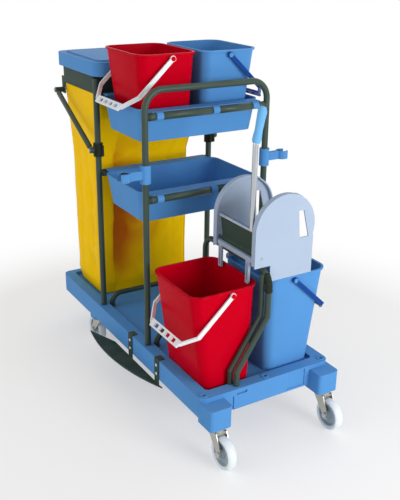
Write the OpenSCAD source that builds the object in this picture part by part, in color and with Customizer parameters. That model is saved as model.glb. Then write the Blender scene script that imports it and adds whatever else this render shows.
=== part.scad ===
// Janitor cart: moulded base on four casters, tube frames, two trays, four buckets, press wringer, waste bag.
// Millimetres. +X is the bucket end, +Z is up, and the floor is z = 0.

/* [Casters] */
// Diameter of the wheel over its tyre
wheel_d = 100; // [90:1:110]
// Width of the tyre
wheel_w = 28; // [24:1:32]
// Radial thickness of the tyre
tyre_t = 13; // [10:1:16]
// Diameter of the axle
axle_d = 10; // [8:1:12]
// Distance from the swivel axis to the axle
trail = 40; // [32:1:44]
// Diameter of the swivel stem
stem_d = 14; // [12:1:16]
// Length of the swivel stem inside its housing
stem_l = 46; // [38:1:48]
// Thickness of the fork's steel
fork_t = 3; // [2.5:0.5:4]
// Distance of the front swivel axes ahead of the base
caster_out = 25; // [23:1:30]
// Distance of the rear swivel axes ahead of the base's rear edge
rear_caster_in = 269; // [240:1:300]
// Distance of the swivel axes from the base's long edge
caster_in = 38; // [36:1:44]

/* [Base] */
// Length of the moulded base
base_l = 1045; // [1030:1:1070]
// Width of the moulded base
base_w = 466; // [460:1:490]
// Height of the side rails
rail_h = 67; // [64:1:74]
// Width of the side rails
rail_w = 38; // [36:1:39]
// Width of the front cross member
front_w = 38; // [36:1:40]
// Width of the rear cross member
rear_w = 24; // [18:1:25]
// Depth of the deck below the rails
deck_drop = 14; // [10:1:18]
// Thickness of the moulded walls and deck
wall = 4; // [3:0.5:5]
// Radius of the base's corners
base_r = 24; // [18:1:30]
// Size of a caster housing along and across the base
housing = 74; // [70:1:76]
// Depth of the caster housings below the rails
housing_drop = 15; // [12:1:20]

/* [Tube frames] */
// Diameter of the frame tubes
tube_d = 20; // [18:1:22]
// Wall of the frame tubes
tube_wall = 2; // [1.5:0.5:3]
// Depth of the tube sockets in the base
socket_depth = 46; // [36:1:50]
// Distance of the front hoop behind the base's front edge
hoop_back = 365; // [358:1:372]
// Distance between the front hoop and the rear posts
post_span = 340; // [336:1:346]
// Height of the hoop's top bar above the rails
hoop_rise = 812; // [800:1:830]
// Bend radius of the hoop's corners
hoop_bend = 58; // [45:1:66]
// Height of the upper tray bars above the rails
upper_bar = 736; // [730:1:745]
// Height of the middle tray bars above the rails
middle_bar = 485; // [478:1:490]
// Diameter of the bent tubes on the deck
bent_d = 18; // [16:1:19]
// Height of the stop bars above the deck
stop_rise = 46; // [40:1:52]
// Height of the upper bend in the arch's front leg above the deck
knee_rise = 214; // [200:1:220]
// Height of the lower bend in the arch's front leg above the deck
ankle_rise = 56; // [46:1:60]
// Depth of the plugs of the posts' caps
cap_plug = 14; // [10:1:18]
// Thickness of the posts' caps
cap_t = 5; // [4:0.5:6]
// Distance of the posts' caps below the lid's edge
cap_drop = 8; // [7:1:12]

/* [Trays] */
// Depth of a tray
tray_h = 100; // [94:1:104]
// Length of a tray's mouth
tray_l = 262; // [256:1:268]
// Width of a tray's mouth
tray_w = 424; // [420:1:428]
// Draw-in of a tray's walls from mouth to floor, on each side
tray_taper = 15; // [10:1:16]
// Width of a tray hook
hook_w = 22; // [16:1:28]

/* [Buckets] */
// Height of the large buckets
pail_h = 310; // [300:1:320]
// Length of a large bucket's floor
pail_l = 234; // [228:1:236]
// Width of a large bucket's floor
pail_w = 162; // [154:1:163]
// Length of a large bucket's mouth
pail_mouth_l = 244; // [240:1:246]
// Width of a large bucket's mouth
pail_mouth_w = 216; // [208:1:218]
// Gap between the floors of the large buckets
pail_gap = 58; // [57:1:60]
// Outward flare of a large bucket's mouth
pail_flare = 16; // [12:1:20]
// Height of the small buckets
tub_h = 250; // [240:1:260]
// Length of a small bucket's floor
tub_l = 200; // [190:1:204]
// Width of a small bucket's floor
tub_w = 160; // [150:1:166]
// Length of a small bucket's mouth
tub_mouth_l = 249; // [240:1:252]
// Width of a small bucket's mouth
tub_mouth_w = 192; // [180:1:194]
// Gap between the floors of the small buckets
tub_gap = 40; // [36:1:44]
// Outward flare of a small bucket's mouth
tub_flare = 8; // [4:1:12]
// Wall of the buckets
bucket_wall = 3; // [2.5:0.5:4]
// Reach of a bucket's rim beyond its wall
lip = 5; // [4:0.5:6]

/* [Bails] */
// Distance from a bail's pivots to its grip
bail_reach = 205; // [196:1:210]
// Length of a bail's grip
grip_l = 164; // [150:1:176]
// Width of a bail's grip, in the plane of the bail
grip_w = 24; // [20:1:26]
// Thickness of a bail's grip
grip_t = 6; // [5:0.5:7]
// Reach of a bail's grip beyond its arms
grip_out = 9; // [8:1:11]
// Margin round the windows in a bail's grip
grip_rim = 6; // [5:0.5:7]
// Width of a bail's arms
strap_w = 13; // [11:1:15]
// Thickness of a bail
strap_t = 5; // [4:0.5:6]
// Diameter of a bail's pivot studs
stud_d = 10; // [8:0.5:11]
// Swing of the hanging bails away from straight down
bail_rest = 47; // [44:1:50]

/* [Wringer] */
// Distance between the outer faces of the side plates
wringer_l = 221; // [212:1:226]
// Radius of the side plates' round back
plate_r = 104; // [98:1:108]
// Height of the side plates' top above the bucket rim
plate_h = 257; // [248:1:266]
// Width of the side plates
plate_w = 206; // [200:1:212]
// Depth of the side plates' turned-in rims
flange = 18; // [12:1:22]
// Height of the notch that sits on the arch
notch_h = 50; // [48:1:54]
// Height of the press hinge above the bucket rim
hinge_rise = 78; // [74:1:82]
// Height of the press jaw above its hinge
jaw_h = 70; // [62:1:74]
// Diameter of the hinge rod
hinge_d = 10; // [8:1:11]
// Diameter of the lever tube
lever_d = 16; // [14:1:18]
// Height of the bend in the lever above the hinge
lever_h = 316; // [300:1:330]
// Length of the lever's grip
lever_grip_l = 106; // [96:1:116]
// Lean of the lever's grip
grip_lean = 11; // [6:1:14]
// Distance of the basket's front edge from the press hinge
basket_in = 20; // [16:1:26]
// Drop of the basket's front edge below the press hinge
basket_drop = 18; // [14:1:22]
// Distance of the basket's floor from the plates' far edge
basket_back = 26; // [20:1:30]
// Height of the basket's floor above the bucket rim
basket_low = 24; // [20:1:28]
// Height of the basket's back wall above the bucket rim
basket_high = 96; // [88:1:104]
// Margin at each end of the basket's slots
slot_margin = 12; // [8:1:16]

/* [Bag end] */
// Length of the bag ring
ring_l = 290; // [284:1:294]
// Distance of the bag ring's sides inside the axes of the posts
ring_in = 2; // [1:0.5:5]
// Height of the bag ring's lower edge above the rails
ring_rise = 745; // [738:1:750]
// Height of the bag ring
ring_h = 99; // [94:1:104]
// Overhang of the lid beyond the ring at its rear
lid_back = 17; // [16:1:20]
// Overhang of the lid beyond the ring at its front
lid_front = 34; // [28:1:36]
// Overhang of the lid beyond the ring at its sides
lid_side = 12; // [10:1:16]
// Height of the lid's skirt
lid_h = 44; // [40:1:50]
// Diameter of the lid's hinge rod
lid_rod_d = 5; // [4:0.5:6]
// Clearance of the waste bag's sides from the rails
bag_in = 13; // [9:1:20]
// Clearance of the waste bag from the rear stop bar
bag_ahead = 85; // [79:1:97]
// Clearance of the waste bag from the rear cross member
bag_behind = 4; // [2:1:6]
// Height of the bag's shoulders above the deck
shoulder = 520; // [480:5:560]
// Thickness of the bag's sheet with its seams
bag_t = 2; // [1.5:0.5:3]
// Diameter of the bag ring's braces
brace_d = 11; // [9:1:12]
// Height of the brace collars above the rails
collar_rise = 566; // [550:1:580]

/* [Mop rest and clips] */
// Length of the mop rest
rest_l = 462; // [440:1:480]
// Reach of the mop rest from the rail
rest_reach = 60; // [52:1:62]
// Distance of the mop rest's widest place from its rear tip
rest_belly = 165; // [150:1:190]
// Length of the mop rest's slanted rear edge
rest_cut = 120; // [100:1:130]
// Distance of the mop rest's nose behind the base's front edge
rest_ahead = 233; // [220:1:246]
// Drop of the mop rest below the rail's upper edge
rest_drop = 88; // [82:1:92]
// Thickness of the mop rest's steel
rest_t = 3; // [2.5:0.5:4]
// Height of the handle clips above the rails
clip_rise = 568; // [556:1:580]
// Height of a handle clip's ring
clip_h = 56; // [48:1:60]
// Inner diameter of a handle clip's jaws
clip_jaw = 30; // [26:1:34]

/* [Fits] */
// Radial clearance of turning fits
run_gap = 0.05; // [0.03:0.01:0.1]
// Clearance between pieces that are pushed or set together
seat_gap = 0.3; // [0.2:0.05:0.4]

/* [Hidden] */
$fn = 48;
hull_fn = 32;
skin = 0.5;

// Places along the cart, with x = 0 half way between its ends
base_rear = -580;
base_front = base_rear + base_l;
base_mid = (base_front + base_rear) / 2;
front_axis = base_front + caster_out;
rear_axis = base_rear + rear_caster_in;
caster_y = base_w / 2 - caster_in;
hoop_x = base_front - hoop_back;
post_x = hoop_x - post_span;
tray_x = (hoop_x + post_x) / 2;
leg_y = base_w / 2 - rail_w / 2;

// Heights of the base
wheel_gap = 3;
crown_t = 6;
race_h = 9;
housing_z = wheel_d + wheel_gap + crown_t + race_h;
rail_bot = housing_z + housing_drop;
rail_top = rail_bot + rail_h;
deck_z = rail_top - deck_drop;

tube_r = tube_d / 2;
bent_r = bent_d / 2;
upper_z = rail_top + upper_bar;
middle_z = rail_top + middle_bar;
hoop_z = rail_top + hoop_rise;
socket_z = rail_top - socket_depth;
flange_t = wall;

// Large buckets stand on the deck ahead of the front stop bar
pail_x = base_front - front_w - pail_l / 2 - 14;
pail_y = pail_gap / 2 + pail_w / 2;
pail_z = deck_z + seat_gap;
pail_rim = pail_z + pail_h + skin;
rim_drop = 14;

// Small buckets stand in the upper tray
tub_y = tub_gap / 2 + tub_w / 2;
tub_z = upper_z + tube_r - 1 + seat_gap + flange_t - tray_h + wall + seat_gap;

// Wringer on the blue bucket and on the arch
plate_x1 = pail_x + pail_mouth_l / 2 + lip - seat_gap;
plate_x0 = plate_x1 - wringer_l;
plate_z = pail_rim + seat_gap;
plate_y0 = -38;
plate_y1 = plate_y0 + plate_w;
plate_top = plate_z + plate_h;
arch_y = -2;
arch_z = plate_z + notch_h - bent_r - seat_gap;
arch_bend = 45;
arch_front = base_front - front_w / 2;
arch_foot_y = -103;
arch_rear = hoop_x;
stay_x = arch_front - bent_d - 0.4;
stay_y = arch_y - 10;
stay_foot_y = arch_foot_y - 10;
stay_r = bent_r - 1;
hinge_y = plate_y0 + 22;
hinge_z = plate_z + hinge_rise;
jaw_lean = 8;
jaw_l = wringer_l - 2 * (flange + 7);
wringer_mid = (plate_x0 + plate_x1) / 2;
lever_x = wringer_mid + jaw_l / 2 - lever_d / 2 - 2;
bolt_head_r = 6;
bolt_head_t = 2.4;
bolt_places = [
    [plate_y1 - 24, plate_z + 26], [plate_y1 - 40, plate_z + 18], [plate_y0 + 12, plate_z + notch_h + 17]
];

// Bag ring behind the rear posts
ring_w = 2 * (leg_y - ring_in);
ring_x1 = post_x - tube_r - seat_gap;
ring_x0 = ring_x1 - ring_l;
ring_mid = (ring_x0 + ring_x1) / 2;
ring_z = rail_top + ring_rise;
ring_top = ring_z + ring_h;
ring_t = 3;
ring_r = 26;
lid_t = 4;
lid_z = ring_top + seat_gap - lid_h + lid_t;
lid_x0 = ring_x0 - lid_back;
lid_x1 = ring_x1 + lid_front;
lid_w = ring_w + 2 * lid_side;
knuckle_r = lid_rod_d / 2 + 2;
lid_axis = [ring_x0 - 9, lid_z];
knuckle_y = 120;
ear_w = 10;
knuckle_w = 16;

// Waste bag between the rails, the rear cross member and the rear stop bar
bag_w = base_w - 2 * rail_w - 2 * bag_in;
bag_rear = base_rear + rear_w + bag_behind;
bag_l = post_x - bent_r - bag_ahead - bag_rear;

// Braces of the bag ring
collar_z = rail_top + collar_rise;
collar_h = 44;
eye_w = brace_d + 1;
brace_y = leg_y + tube_r + 13;
brace_face = brace_y - eye_w / 2 - seat_gap;
brace_top = [ring_x0 + 14, ring_z - 26];
brace_foot = [post_x, collar_z];

clip_z = rail_top + clip_rise;
clip_wall = 6;
clip_r = tube_r + run_gap + clip_wall;
clip_reach = clip_r + clip_jaw / 2 + 30;

blue = "#3a72b8";
red = "#c3001d";
olive = "#44503c";
steel = "#b9bec3";
pale = "#b5c6de";
white = "#eef3f6";
yellow = "#f0c800";
navy = "#1c4796";
dark = "#2b2f2b";

// Rounded rectangle about its centre, with true arcs
module round_rect(l, w, r, fn = 48) {
    square([l - 2 * r, w], center = true);
    square([l, w - 2 * r], center = true);
    for (sx = [-1, 1], sy = [-1, 1])
        translate([sx * (l / 2 - r), sy * (w / 2 - r)])
            circle(r, $fn = fn);
}

// Bar along X, from x = 0
module bar_x(l, r) {
    rotate([0, 90, 0])
        cylinder(h = l, r = r);
}

// Bar along Y, about its middle
module bar_y(l, r) {
    rotate([90, 0, 0])
        cylinder(h = l, r = r, center = true);
}

// Quarter bend of a tube, from +X to +Y about Z
module bend(radius, r, angle = 90) {
    rotate_extrude(angle = angle)
        translate([radius, 0])
            circle(r);
}

// Straight round bar between two points, with round ends
module bar_between(a, b, r) {
    d = b - a;
    translate(a)
        rotate([0, acos(d[2] / norm(d)), atan2(d[1], d[0])])
            cylinder(h = norm(d), r = r);
}

// One caster housing's solid block, about its swivel axis
module housing_block() {
    translate([0, 0, housing_z])
        linear_extrude(deck_z - housing_z)
            round_rect(housing - 24, housing, 12);
}

// Socket bosses for the frame tubes, the stop bars and the arch's foot
module boss(x, y, z0, z1, r) {
    translate([x, y, z0])
        cylinder(h = z1 - z0, r = r);
}

module socket(x, y, r) {
    translate([x, y, socket_z])
        cylinder(h = socket_depth + 1, r = r + seat_gap / 3);
}

// Hollows moulded into the underside, between the ribs
module underside_hollows() {
    bays = 7;
    rows = 3;
    bay_l = (base_l - front_w - rear_w - wall) / bays;
    row_w = (base_w - 2 * rail_w - wall) / rows;
    bay_x = base_rear + rear_w;
    row_y = -base_w / 2 + rail_w;
    for (i = [0 : bays - 1]) {
        for (j = [0 : rows - 1])
            translate([bay_x + wall + i * bay_l, row_y + wall + j * row_w, rail_bot - 1])
                cube([bay_l - wall, row_w - wall, deck_z - rail_bot - wall + 1]);
        for (s = [0, 1])
            mirror([0, s, 0])
                translate([bay_x + wall + i * bay_l, row_y - rail_w + wall, rail_bot - 1])
                    cube([bay_l - wall, rail_w - wall, rail_h - wall + 1]);
    }
}

// Shallow panel, slot and groove on the front member's face
module front_face_recesses() {
    face_h = rail_h - 12;
    translate([base_front - 3, 72, rail_bot + 6])
        cube([10, 66, face_h]);
    translate([base_front - 5, -112, rail_bot + rail_h - 20])
        cube([10, 36, 8]);
    translate([base_front - 3, -128, rail_bot - 1])
        cube([10, 6, rail_h - 20]);
}

module chassis() {
    swivels = [for (x = [front_axis, rear_axis], s = [-1, 1]) [x, s * caster_y]];
    legs = [for (x = [hoop_x, post_x], s = [-1, 1]) [x, s * leg_y]];
    front_bosses = [[arch_front, -leg_y], [arch_front, 0], [arch_front, leg_y]];
    color(blue)
        difference() {
            union() {
                difference() {
                    translate([base_mid, 0, rail_bot])
                        linear_extrude(rail_h)
                            round_rect(base_l, base_w, base_r);
                    translate([(base_rear + rear_w + base_front - front_w) / 2, 0, deck_z])
                        linear_extrude(rail_h)
                            round_rect(base_l - front_w - rear_w, base_w - 2 * rail_w, base_r - 10);
                    underside_hollows();
                    front_face_recesses();
                }
                for (p = swivels)
                    translate([p[0], p[1], 0])
                        housing_block();
                for (s = [-1, 1])
                    translate([base_front - front_w / 2, s * caster_y - housing / 2, housing_z])
                        cube([front_w / 2 + caster_out, housing, deck_z - housing_z]);
                for (p = legs)
                    boss(p[0], p[1], socket_z - wall, rail_top - 1, rail_w / 2 - 2);
                boss(arch_front, arch_foot_y, socket_z - wall, rail_top - 1, bent_r + wall);
                for (p = front_bosses)
                    boss(p[0], p[1], rail_top - 1, rail_top + 2, 12);
            }
            for (p = swivels)
                translate([p[0], p[1], housing_z - 1])
                    cylinder(h = stem_l + 2, r = stem_d / 2 + run_gap);
            for (p = legs)
                socket(p[0], p[1], tube_r);
            socket(arch_front, arch_foot_y, bent_r);
            translate([stay_x, stay_foot_y, deck_z])
                cylinder(h = rail_h, r = stay_r + seat_gap / 3);
            for (p = front_bosses)
                translate([p[0], p[1], rail_top - 8])
                    cylinder(h = 20, r = 6);
        }
}

// Inverted U of tube across the cart, from z0 to its top bar
module hoop(r, z0) {
    for (s = [0, 1])
        mirror([0, s, 0]) {
            translate([0, leg_y, z0])
                cylinder(h = hoop_z - hoop_bend - z0, r = r);
            translate([0, leg_y - hoop_bend, hoop_z - hoop_bend])
                rotate([90, 0, 90])
                    bend(hoop_bend, r);
        }
    translate([0, 0, hoop_z])
        bar_y(2 * (leg_y - hoop_bend), r);
}

// The two tray bars of a frame
module tray_bars(l, r) {
    for (z = [upper_z, middle_z])
        translate([0, 0, z])
            bar_y(l, r);
}

module front_hoop() {
    color(olive)
        translate([hoop_x, 0, 0])
            difference() {
                union() {
                    hoop(tube_r, socket_z + seat_gap);
                    tray_bars(2 * leg_y, tube_r - 1);
                }
                hoop(tube_r - tube_wall, socket_z - 1);
                tray_bars(2 * leg_y, tube_r - 1 - tube_wall);
            }
}

// Straight rear posts, closed by caps under the lid
module posts(r, z0, z1) {
    for (s = [-1, 1])
        translate([0, s * leg_y, z0])
            cylinder(h = z1 - z0, r = r);
}

module rear_posts() {
    post_top = lid_z - 8;
    color(olive)
        translate([post_x, 0, 0])
            difference() {
                union() {
                    posts(tube_r, socket_z + seat_gap, post_top);
                    tray_bars(2 * leg_y, tube_r - 1);
                }
                posts(tube_r - tube_wall, socket_z - 1, post_top + 1);
                tray_bars(2 * leg_y, tube_r - 1 - tube_wall);
            }
}

module tube_caps() {
    cap_z = lid_z - cap_drop;
    color(dark)
        for (s = [-1, 1])
            translate([post_x, s * leg_y, cap_z]) {
                translate([0, 0, -cap_plug])
                    cylinder(h = cap_plug + 1, r = tube_r - tube_wall - seat_gap / 3);
                cylinder(h = cap_t, r = tube_r);
            }
}

// Low bar across the deck, with both ends bent down onto it
module stop_bar() {
    run = base_w / 2 - rail_w - bent_r - 4;
    radius = stop_rise - bent_r;
    for (s = [0, 1])
        mirror([0, s, 0]) {
            translate([0, run - radius, stop_rise - radius])
                rotate([90, 0, 90])
                    bend(radius, bent_r);
            translate([0, run, seat_gap])
                cylinder(h = stop_rise - radius - seat_gap, r = bent_r);
            translate([0, run, seat_gap])
                cylinder(h = 3, r = bent_r + 3);
        }
    translate([0, 0, stop_rise])
        bar_y(2 * (run - radius), bent_r);
}

module front_stop_bar() {
    color(olive)
        translate([hoop_x, 0, deck_z])
            stop_bar();
}

module rear_stop_bar() {
    color(olive)
        translate([post_x, 0, deck_z])
            stop_bar();
}

// Bent tube between the large buckets that carries the wringer
module wringer_arch() {
    knee_z = deck_z + knee_rise;
    ankle_z = deck_z + ankle_rise;
    knee = [arch_front, arch_y, knee_z];
    ankle = [arch_front, arch_foot_y, ankle_z];
    stay_knee = [stay_x, stay_y, knee_z];
    stay_ankle = [stay_x, stay_foot_y, ankle_z];
    color(olive)
        difference() {
            union() {
                translate([arch_rear + arch_bend, arch_y, arch_z])
                    bar_x(arch_front - arch_rear - 2 * arch_bend, bent_r);
                translate([arch_front - arch_bend, arch_y, arch_z - arch_bend])
                    rotate([90, 0, 0])
                        bend(arch_bend, bent_r);
                translate([arch_rear + arch_bend, arch_y, arch_z - arch_bend])
                    rotate([90, 0, 180])
                        bend(arch_bend, bent_r);
                translate([arch_rear, arch_y, deck_z + stop_rise])
                    cylinder(h = arch_z - arch_bend - deck_z - stop_rise, r = bent_r);
                translate(knee)
                    cylinder(h = arch_z - arch_bend - knee_z, r = bent_r);
                bar_between(ankle, knee, bent_r);
                for (p = [ankle, knee])
                    translate(p)
                        sphere(bent_r + 0.3);
                translate([arch_front, arch_foot_y, socket_z + seat_gap])
                    cylinder(h = ankle_z - socket_z - seat_gap, r = bent_r);
                translate(stay_knee)
                    cylinder(h = arch_z - stay_r - knee_z, r = stay_r);
                bar_between(stay_ankle, stay_knee, stay_r);
                for (p = [stay_ankle, stay_knee])
                    translate(p)
                        sphere(stay_r + 0.3);
                translate([stay_x, stay_foot_y, deck_z + seat_gap])
                    cylinder(h = ankle_z - deck_z - seat_gap, r = stay_r);
            }
            translate([hoop_x, 0, deck_z + stop_rise])
                bar_y(bent_d * 3, bent_r + seat_gap / 2);
        }
}

// Tray with a tapered basin, end flanges over the bars and hooks round the bars
module tray(z_bar) {
    top = z_bar + tube_r - 1 + seat_gap + flange_t;
    reach = post_span / 2;
    flange_w = tray_w - 2 * tray_taper - 14;
    hook_y = [-flange_w / 2 + hook_w, 24, flange_w / 2 - hook_w];
    translate([tray_x, 0, 0]) {
        difference() {
            hull() {
                translate([0, 0, top - tray_h])
                    linear_extrude(skin)
                        round_rect(tray_l - 2 * tray_taper, tray_w - 2 * tray_taper, 22, hull_fn);
                translate([0, 0, top - skin])
                    linear_extrude(skin)
                        round_rect(tray_l, tray_w, 30, hull_fn);
            }
            hull() {
                translate([0, 0, top - tray_h + wall])
                    linear_extrude(skin)
                        round_rect(tray_l - 2 * (tray_taper + wall), tray_w - 2 * (tray_taper + wall), 18, hull_fn);
                translate([0, 0, top + skin])
                    linear_extrude(skin)
                        round_rect(tray_l - 2 * wall, tray_w - 2 * wall, 26, hull_fn);
            }
        }
        translate([0, 0, top - flange_t])
            linear_extrude(flange_t + skin)
                difference() {
                    union() {
                        round_rect(tray_l + 4, tray_w + 4, 32);
                        square([2 * reach, flange_w], center = true);
                    }
                    round_rect(tray_l - wall, tray_w - wall, 28);
                }
        for (s = [0, 1], y = hook_y)
            mirror([s, 0, 0])
                translate([reach, y, z_bar])
                    rotate([90, 0, 0])
                        rotate([0, 0, -40])
                            translate([0, 0, -hook_w / 2])
                                hook_arc(142);
    }
}

// Part of a ring that wraps a tray bar, hook_w wide
module hook_arc(angle) {
    inner = tube_r - 1 + seat_gap;
    rotate_extrude(angle = angle)
        translate([inner, 0])
            square([flange_t, hook_w]);
}

module upper_tray() {
    color(blue)
        tray(upper_z);
}

module middle_tray() {
    color(blue)
        tray(middle_z);
}

// Tapered bucket with a rim and two bail studs; its mouth flares towards -Y
module bucket(l, w, mouth_l, mouth_w, h, flare) {
    stud_z = h - rim_drop;
    wall_x = l / 2 + (mouth_l - l) / 2 * stud_z / h - bucket_wall / 2;
    arm_x = mouth_l / 2 + lip + 2 * seat_gap;
    difference() {
        hull() {
            linear_extrude(skin)
                round_rect(l, w, 30, hull_fn);
            translate([0, -flare, h - skin])
                linear_extrude(skin)
                    round_rect(mouth_l, mouth_w, 36, hull_fn);
        }
        hull() {
            translate([0, 0, bucket_wall])
                linear_extrude(skin)
                    round_rect(l - 2 * bucket_wall, w - 2 * bucket_wall, 27, hull_fn);
            translate([0, -flare, h + skin])
                linear_extrude(skin)
                    round_rect(mouth_l - 2 * bucket_wall, mouth_w - 2 * bucket_wall, 33, hull_fn);
        }
    }
    translate([0, -flare, h - lip])
        linear_extrude(lip + skin)
            difference() {
                round_rect(mouth_l + 2 * lip, mouth_w + 2 * lip, 36 + lip);
                round_rect(mouth_l - bucket_wall, mouth_w - bucket_wall, 36 - bucket_wall / 2);
            }
    for (s = [0, 1])
        mirror([s, 0, 0])
            translate([wall_x, 0, stud_z]) {
                bar_x(arm_x - wall_x - seat_gap, stud_d / 2 + 3);
                bar_x(arm_x + strap_t + seat_gap - wall_x + 1, stud_d / 2);
                translate([arm_x + strap_t + seat_gap - wall_x, 0, 0])
                    bar_x(2, stud_d / 2 + 2);
            }
}

// Bail that hangs from its pivots at the origin, with arms apart by span and a flat grip with windows
module bail(span) {
    inner = span / 2;
    outer = inner + strap_t;
    knee = bail_reach - 52;
    grip = grip_l / 2;
    rise = grip_w - grip_out;
    meet = inner - (inner - grip) * (bail_reach - rise - knee) / (bail_reach - strap_t - knee);
    windows = 4;
    pitch = (grip_l - 30) / windows;
    difference() {
        union() {
            difference() {
                bail_plane(strap_w)
                    difference() {
                        polygon([[-outer, 0], [-outer, -knee], [-grip, -bail_reach], [grip, -bail_reach],
                            [outer, -knee], [outer, 0]]);
                        polygon([[-inner, 1], [-inner, 1 - knee], [-grip + 2, strap_t - bail_reach],
                            [grip - 2, strap_t - bail_reach], [inner, 1 - knee], [inner, 1]]);
                    }
                for (s = [0, 1])
                    mirror([0, s, 0])
                        translate([-grip, grip_t / 2, -bail_reach - 1])
                            cube([grip_l, strap_w, strap_t + 2]);
            }
            bail_plane(grip_t)
                polygon([[-meet, rise - bail_reach], [4 - grip, -bail_reach - grip_out],
                    [grip - 4, -bail_reach - grip_out], [meet, rise - bail_reach]]);
            for (s = [0, 1])
                mirror([s, 0, 0])
                    translate([inner, 0, 0])
                        bar_x(strap_t, stud_d / 2 + 4);
        }
        translate([-outer - 1, 0, 0])
            bar_x(2 * outer + 2, stud_d / 2 + run_gap);
        for (i = [0 : windows - 1])
            translate([-grip + 15 + (i + 0.5) * pitch, 0, rise - grip_w / 2 - bail_reach])
                cube([pitch - 2 * grip_rim, 2 * strap_w, grip_w - 2 * grip_rim], center = true);
    }
}

// Extrusion of a flat outline in the plane of a hanging bail
module bail_plane(thick) {
    rotate([90, 0, 0])
        translate([0, 0, -thick / 2])
            linear_extrude(thick)
                children();
}

// A bucket's bail at rest, swung away from the cart's middle
module hung_bail(x, y, z, mouth_l, side) {
    translate([x, side * y, z])
        rotate([side * bail_rest, 0, 0])
            bail(mouth_l + 2 * lip + 4 * seat_gap);
}

module large_bucket() {
    bucket(pail_l, pail_w, pail_mouth_l, pail_mouth_w, pail_h, pail_flare);
}

module small_bucket() {
    bucket(tub_l, tub_w, tub_mouth_l, tub_mouth_w, tub_h, tub_flare);
}

module large_red_bucket() {
    color(red)
        translate([pail_x, -pail_y, pail_z])
            large_bucket();
}

module large_blue_bucket() {
    color(blue)
        translate([pail_x, pail_y, pail_z])
            mirror([0, 1, 0])
                large_bucket();
}

module small_red_bucket() {
    color(red)
        translate([tray_x, -tub_y, tub_z])
            small_bucket();
}

module small_blue_bucket() {
    color(blue)
        translate([tray_x, tub_y, tub_z])
            mirror([0, 1, 0])
                small_bucket();
}

module large_red_bail() {
    color(white)
        hung_bail(pail_x, pail_y, pail_z + pail_h - rim_drop, pail_mouth_l, -1);
}

module large_blue_bail() {
    color(navy)
        hung_bail(pail_x, pail_y, pail_z + pail_h - rim_drop, pail_mouth_l, 1);
}

module small_red_bail() {
    color(white)
        hung_bail(tray_x, tub_y, tub_z + tub_h - rim_drop, tub_mouth_l, -1);
}

module small_blue_bail() {
    color(navy)
        hung_bail(tray_x, tub_y, tub_z + tub_h - rim_drop, tub_mouth_l, 1);
}

// Outline of a wringer side plate in its own plane, grown by g, with Y to the right and Z up
module plate_outline(g) {
    round_y = plate_y0 + plate_r;
    round_z = plate_top - plate_r;
    corner_r = 24;
    corner = [plate_y1 - 66, plate_top - 6 - corner_r];
    slope_z = plate_z + 116;
    translate([round_y, round_z])
        circle(plate_r + g, $fn = 96);
    translate(corner)
        circle(corner_r + g);
    polygon([
        [plate_y0 - g, plate_z + notch_h - g],
        [arch_y + bent_r + 10 - g, plate_z + notch_h - g],
        [arch_y + bent_r + 10 - g, plate_z - g],
        [plate_y1 + g, plate_z - g],
        [plate_y1 + g, slope_z + g],
        [corner[0] + (corner_r + g) * cos(22), corner[1] + (corner_r + g) * sin(22)],
        [corner[0] + (corner_r + g) * cos(98), corner[1] + (corner_r + g) * sin(98)],
        [round_y + (plate_r + g) * cos(86), round_z + (plate_r + g) * sin(86)],
        [round_y, round_z],
        [plate_y0 - g, round_z]
    ]);
}

// Slanted hand slot of a side plate
module hand_slot() {
    polygon([
        [plate_y1 - 58, plate_top - 56],
        [plate_y1 - 40, plate_top - 56],
        [plate_y1 - 18, plate_top - 140],
        [plate_y1 - 50, plate_top - 140]
    ]);
}

// Side plate with its turned-in rim towards +X, outer face at x = 0
module side_plate() {
    rotate([90, 0, 90]) {
        difference() {
            union() {
                linear_extrude(wall)
                    plate_outline(0);
                linear_extrude(flange)
                    difference() {
                        plate_outline(0);
                        plate_outline(-wall);
                        translate([plate_y0 - 1, plate_z - 1])
                            square([plate_w + 2, notch_h + wall + 2]);
                    }
            }
            translate([0, 0, -1])
                linear_extrude(flange + 2)
                    hand_slot();
            translate([hinge_y, hinge_z, -1])
                cylinder(h = flange + 2, r = hinge_d / 2 + seat_gap / 3);
            for (p = bolt_places)
                translate([p[0], p[1], -1])
                    cylinder(h = bolt_head_t + 1.1, r = bolt_head_r + 0.1);
        }
    }
}

module wringer_front_plate() {
    color(pale)
        translate([plate_x1, 0, 0])
            mirror([1, 0, 0])
                side_plate();
}

module wringer_rear_plate() {
    color(pale)
        translate([plate_x0, 0, 0])
            side_plate();
}

// Perforated basket between the plates: sloped floor and back wall
module wringer_basket() {
    length = wringer_l - 2 * (wall + seat_gap);
    x0 = plate_x0 + wall + seat_gap;
    floor_y0 = hinge_y + basket_in;
    floor_y1 = plate_y1 - basket_back;
    floor_z0 = hinge_z - basket_drop;
    floor_z1 = plate_z + basket_low;
    back_y = plate_y1 - 12;
    back_z = plate_z + basket_high;
    t = wall;
    slots = 9;
    slot_pitch = (length - 2 * slot_margin) / slots;
    slot_w = 7;
    color(pale)
        difference() {
            translate([x0, 0, 0])
                rotate([90, 0, 90])
                    linear_extrude(length)
                        polygon([
                            [floor_y0, floor_z0], [floor_y1, floor_z1], [back_y, back_z], [back_y - t, back_z],
                            [floor_y1 - t, floor_z1 + t], [floor_y0, floor_z0 + t]
                        ]);
            for (i = [0 : slots - 1]) {
                translate([x0 + slot_margin + (i + 0.5) * slot_pitch - slot_w / 2, floor_y0 + 16, plate_z])
                    cube([slot_w, floor_y1 - floor_y0 - 40, hinge_z - plate_z]);
                translate([x0 + slot_margin + (i + 0.5) * slot_pitch - slot_w / 2, floor_y1 - 12, floor_z1 + 20])
                    cube([slot_w, 60, back_z - floor_z1 - 34]);
            }
        }
}

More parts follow.
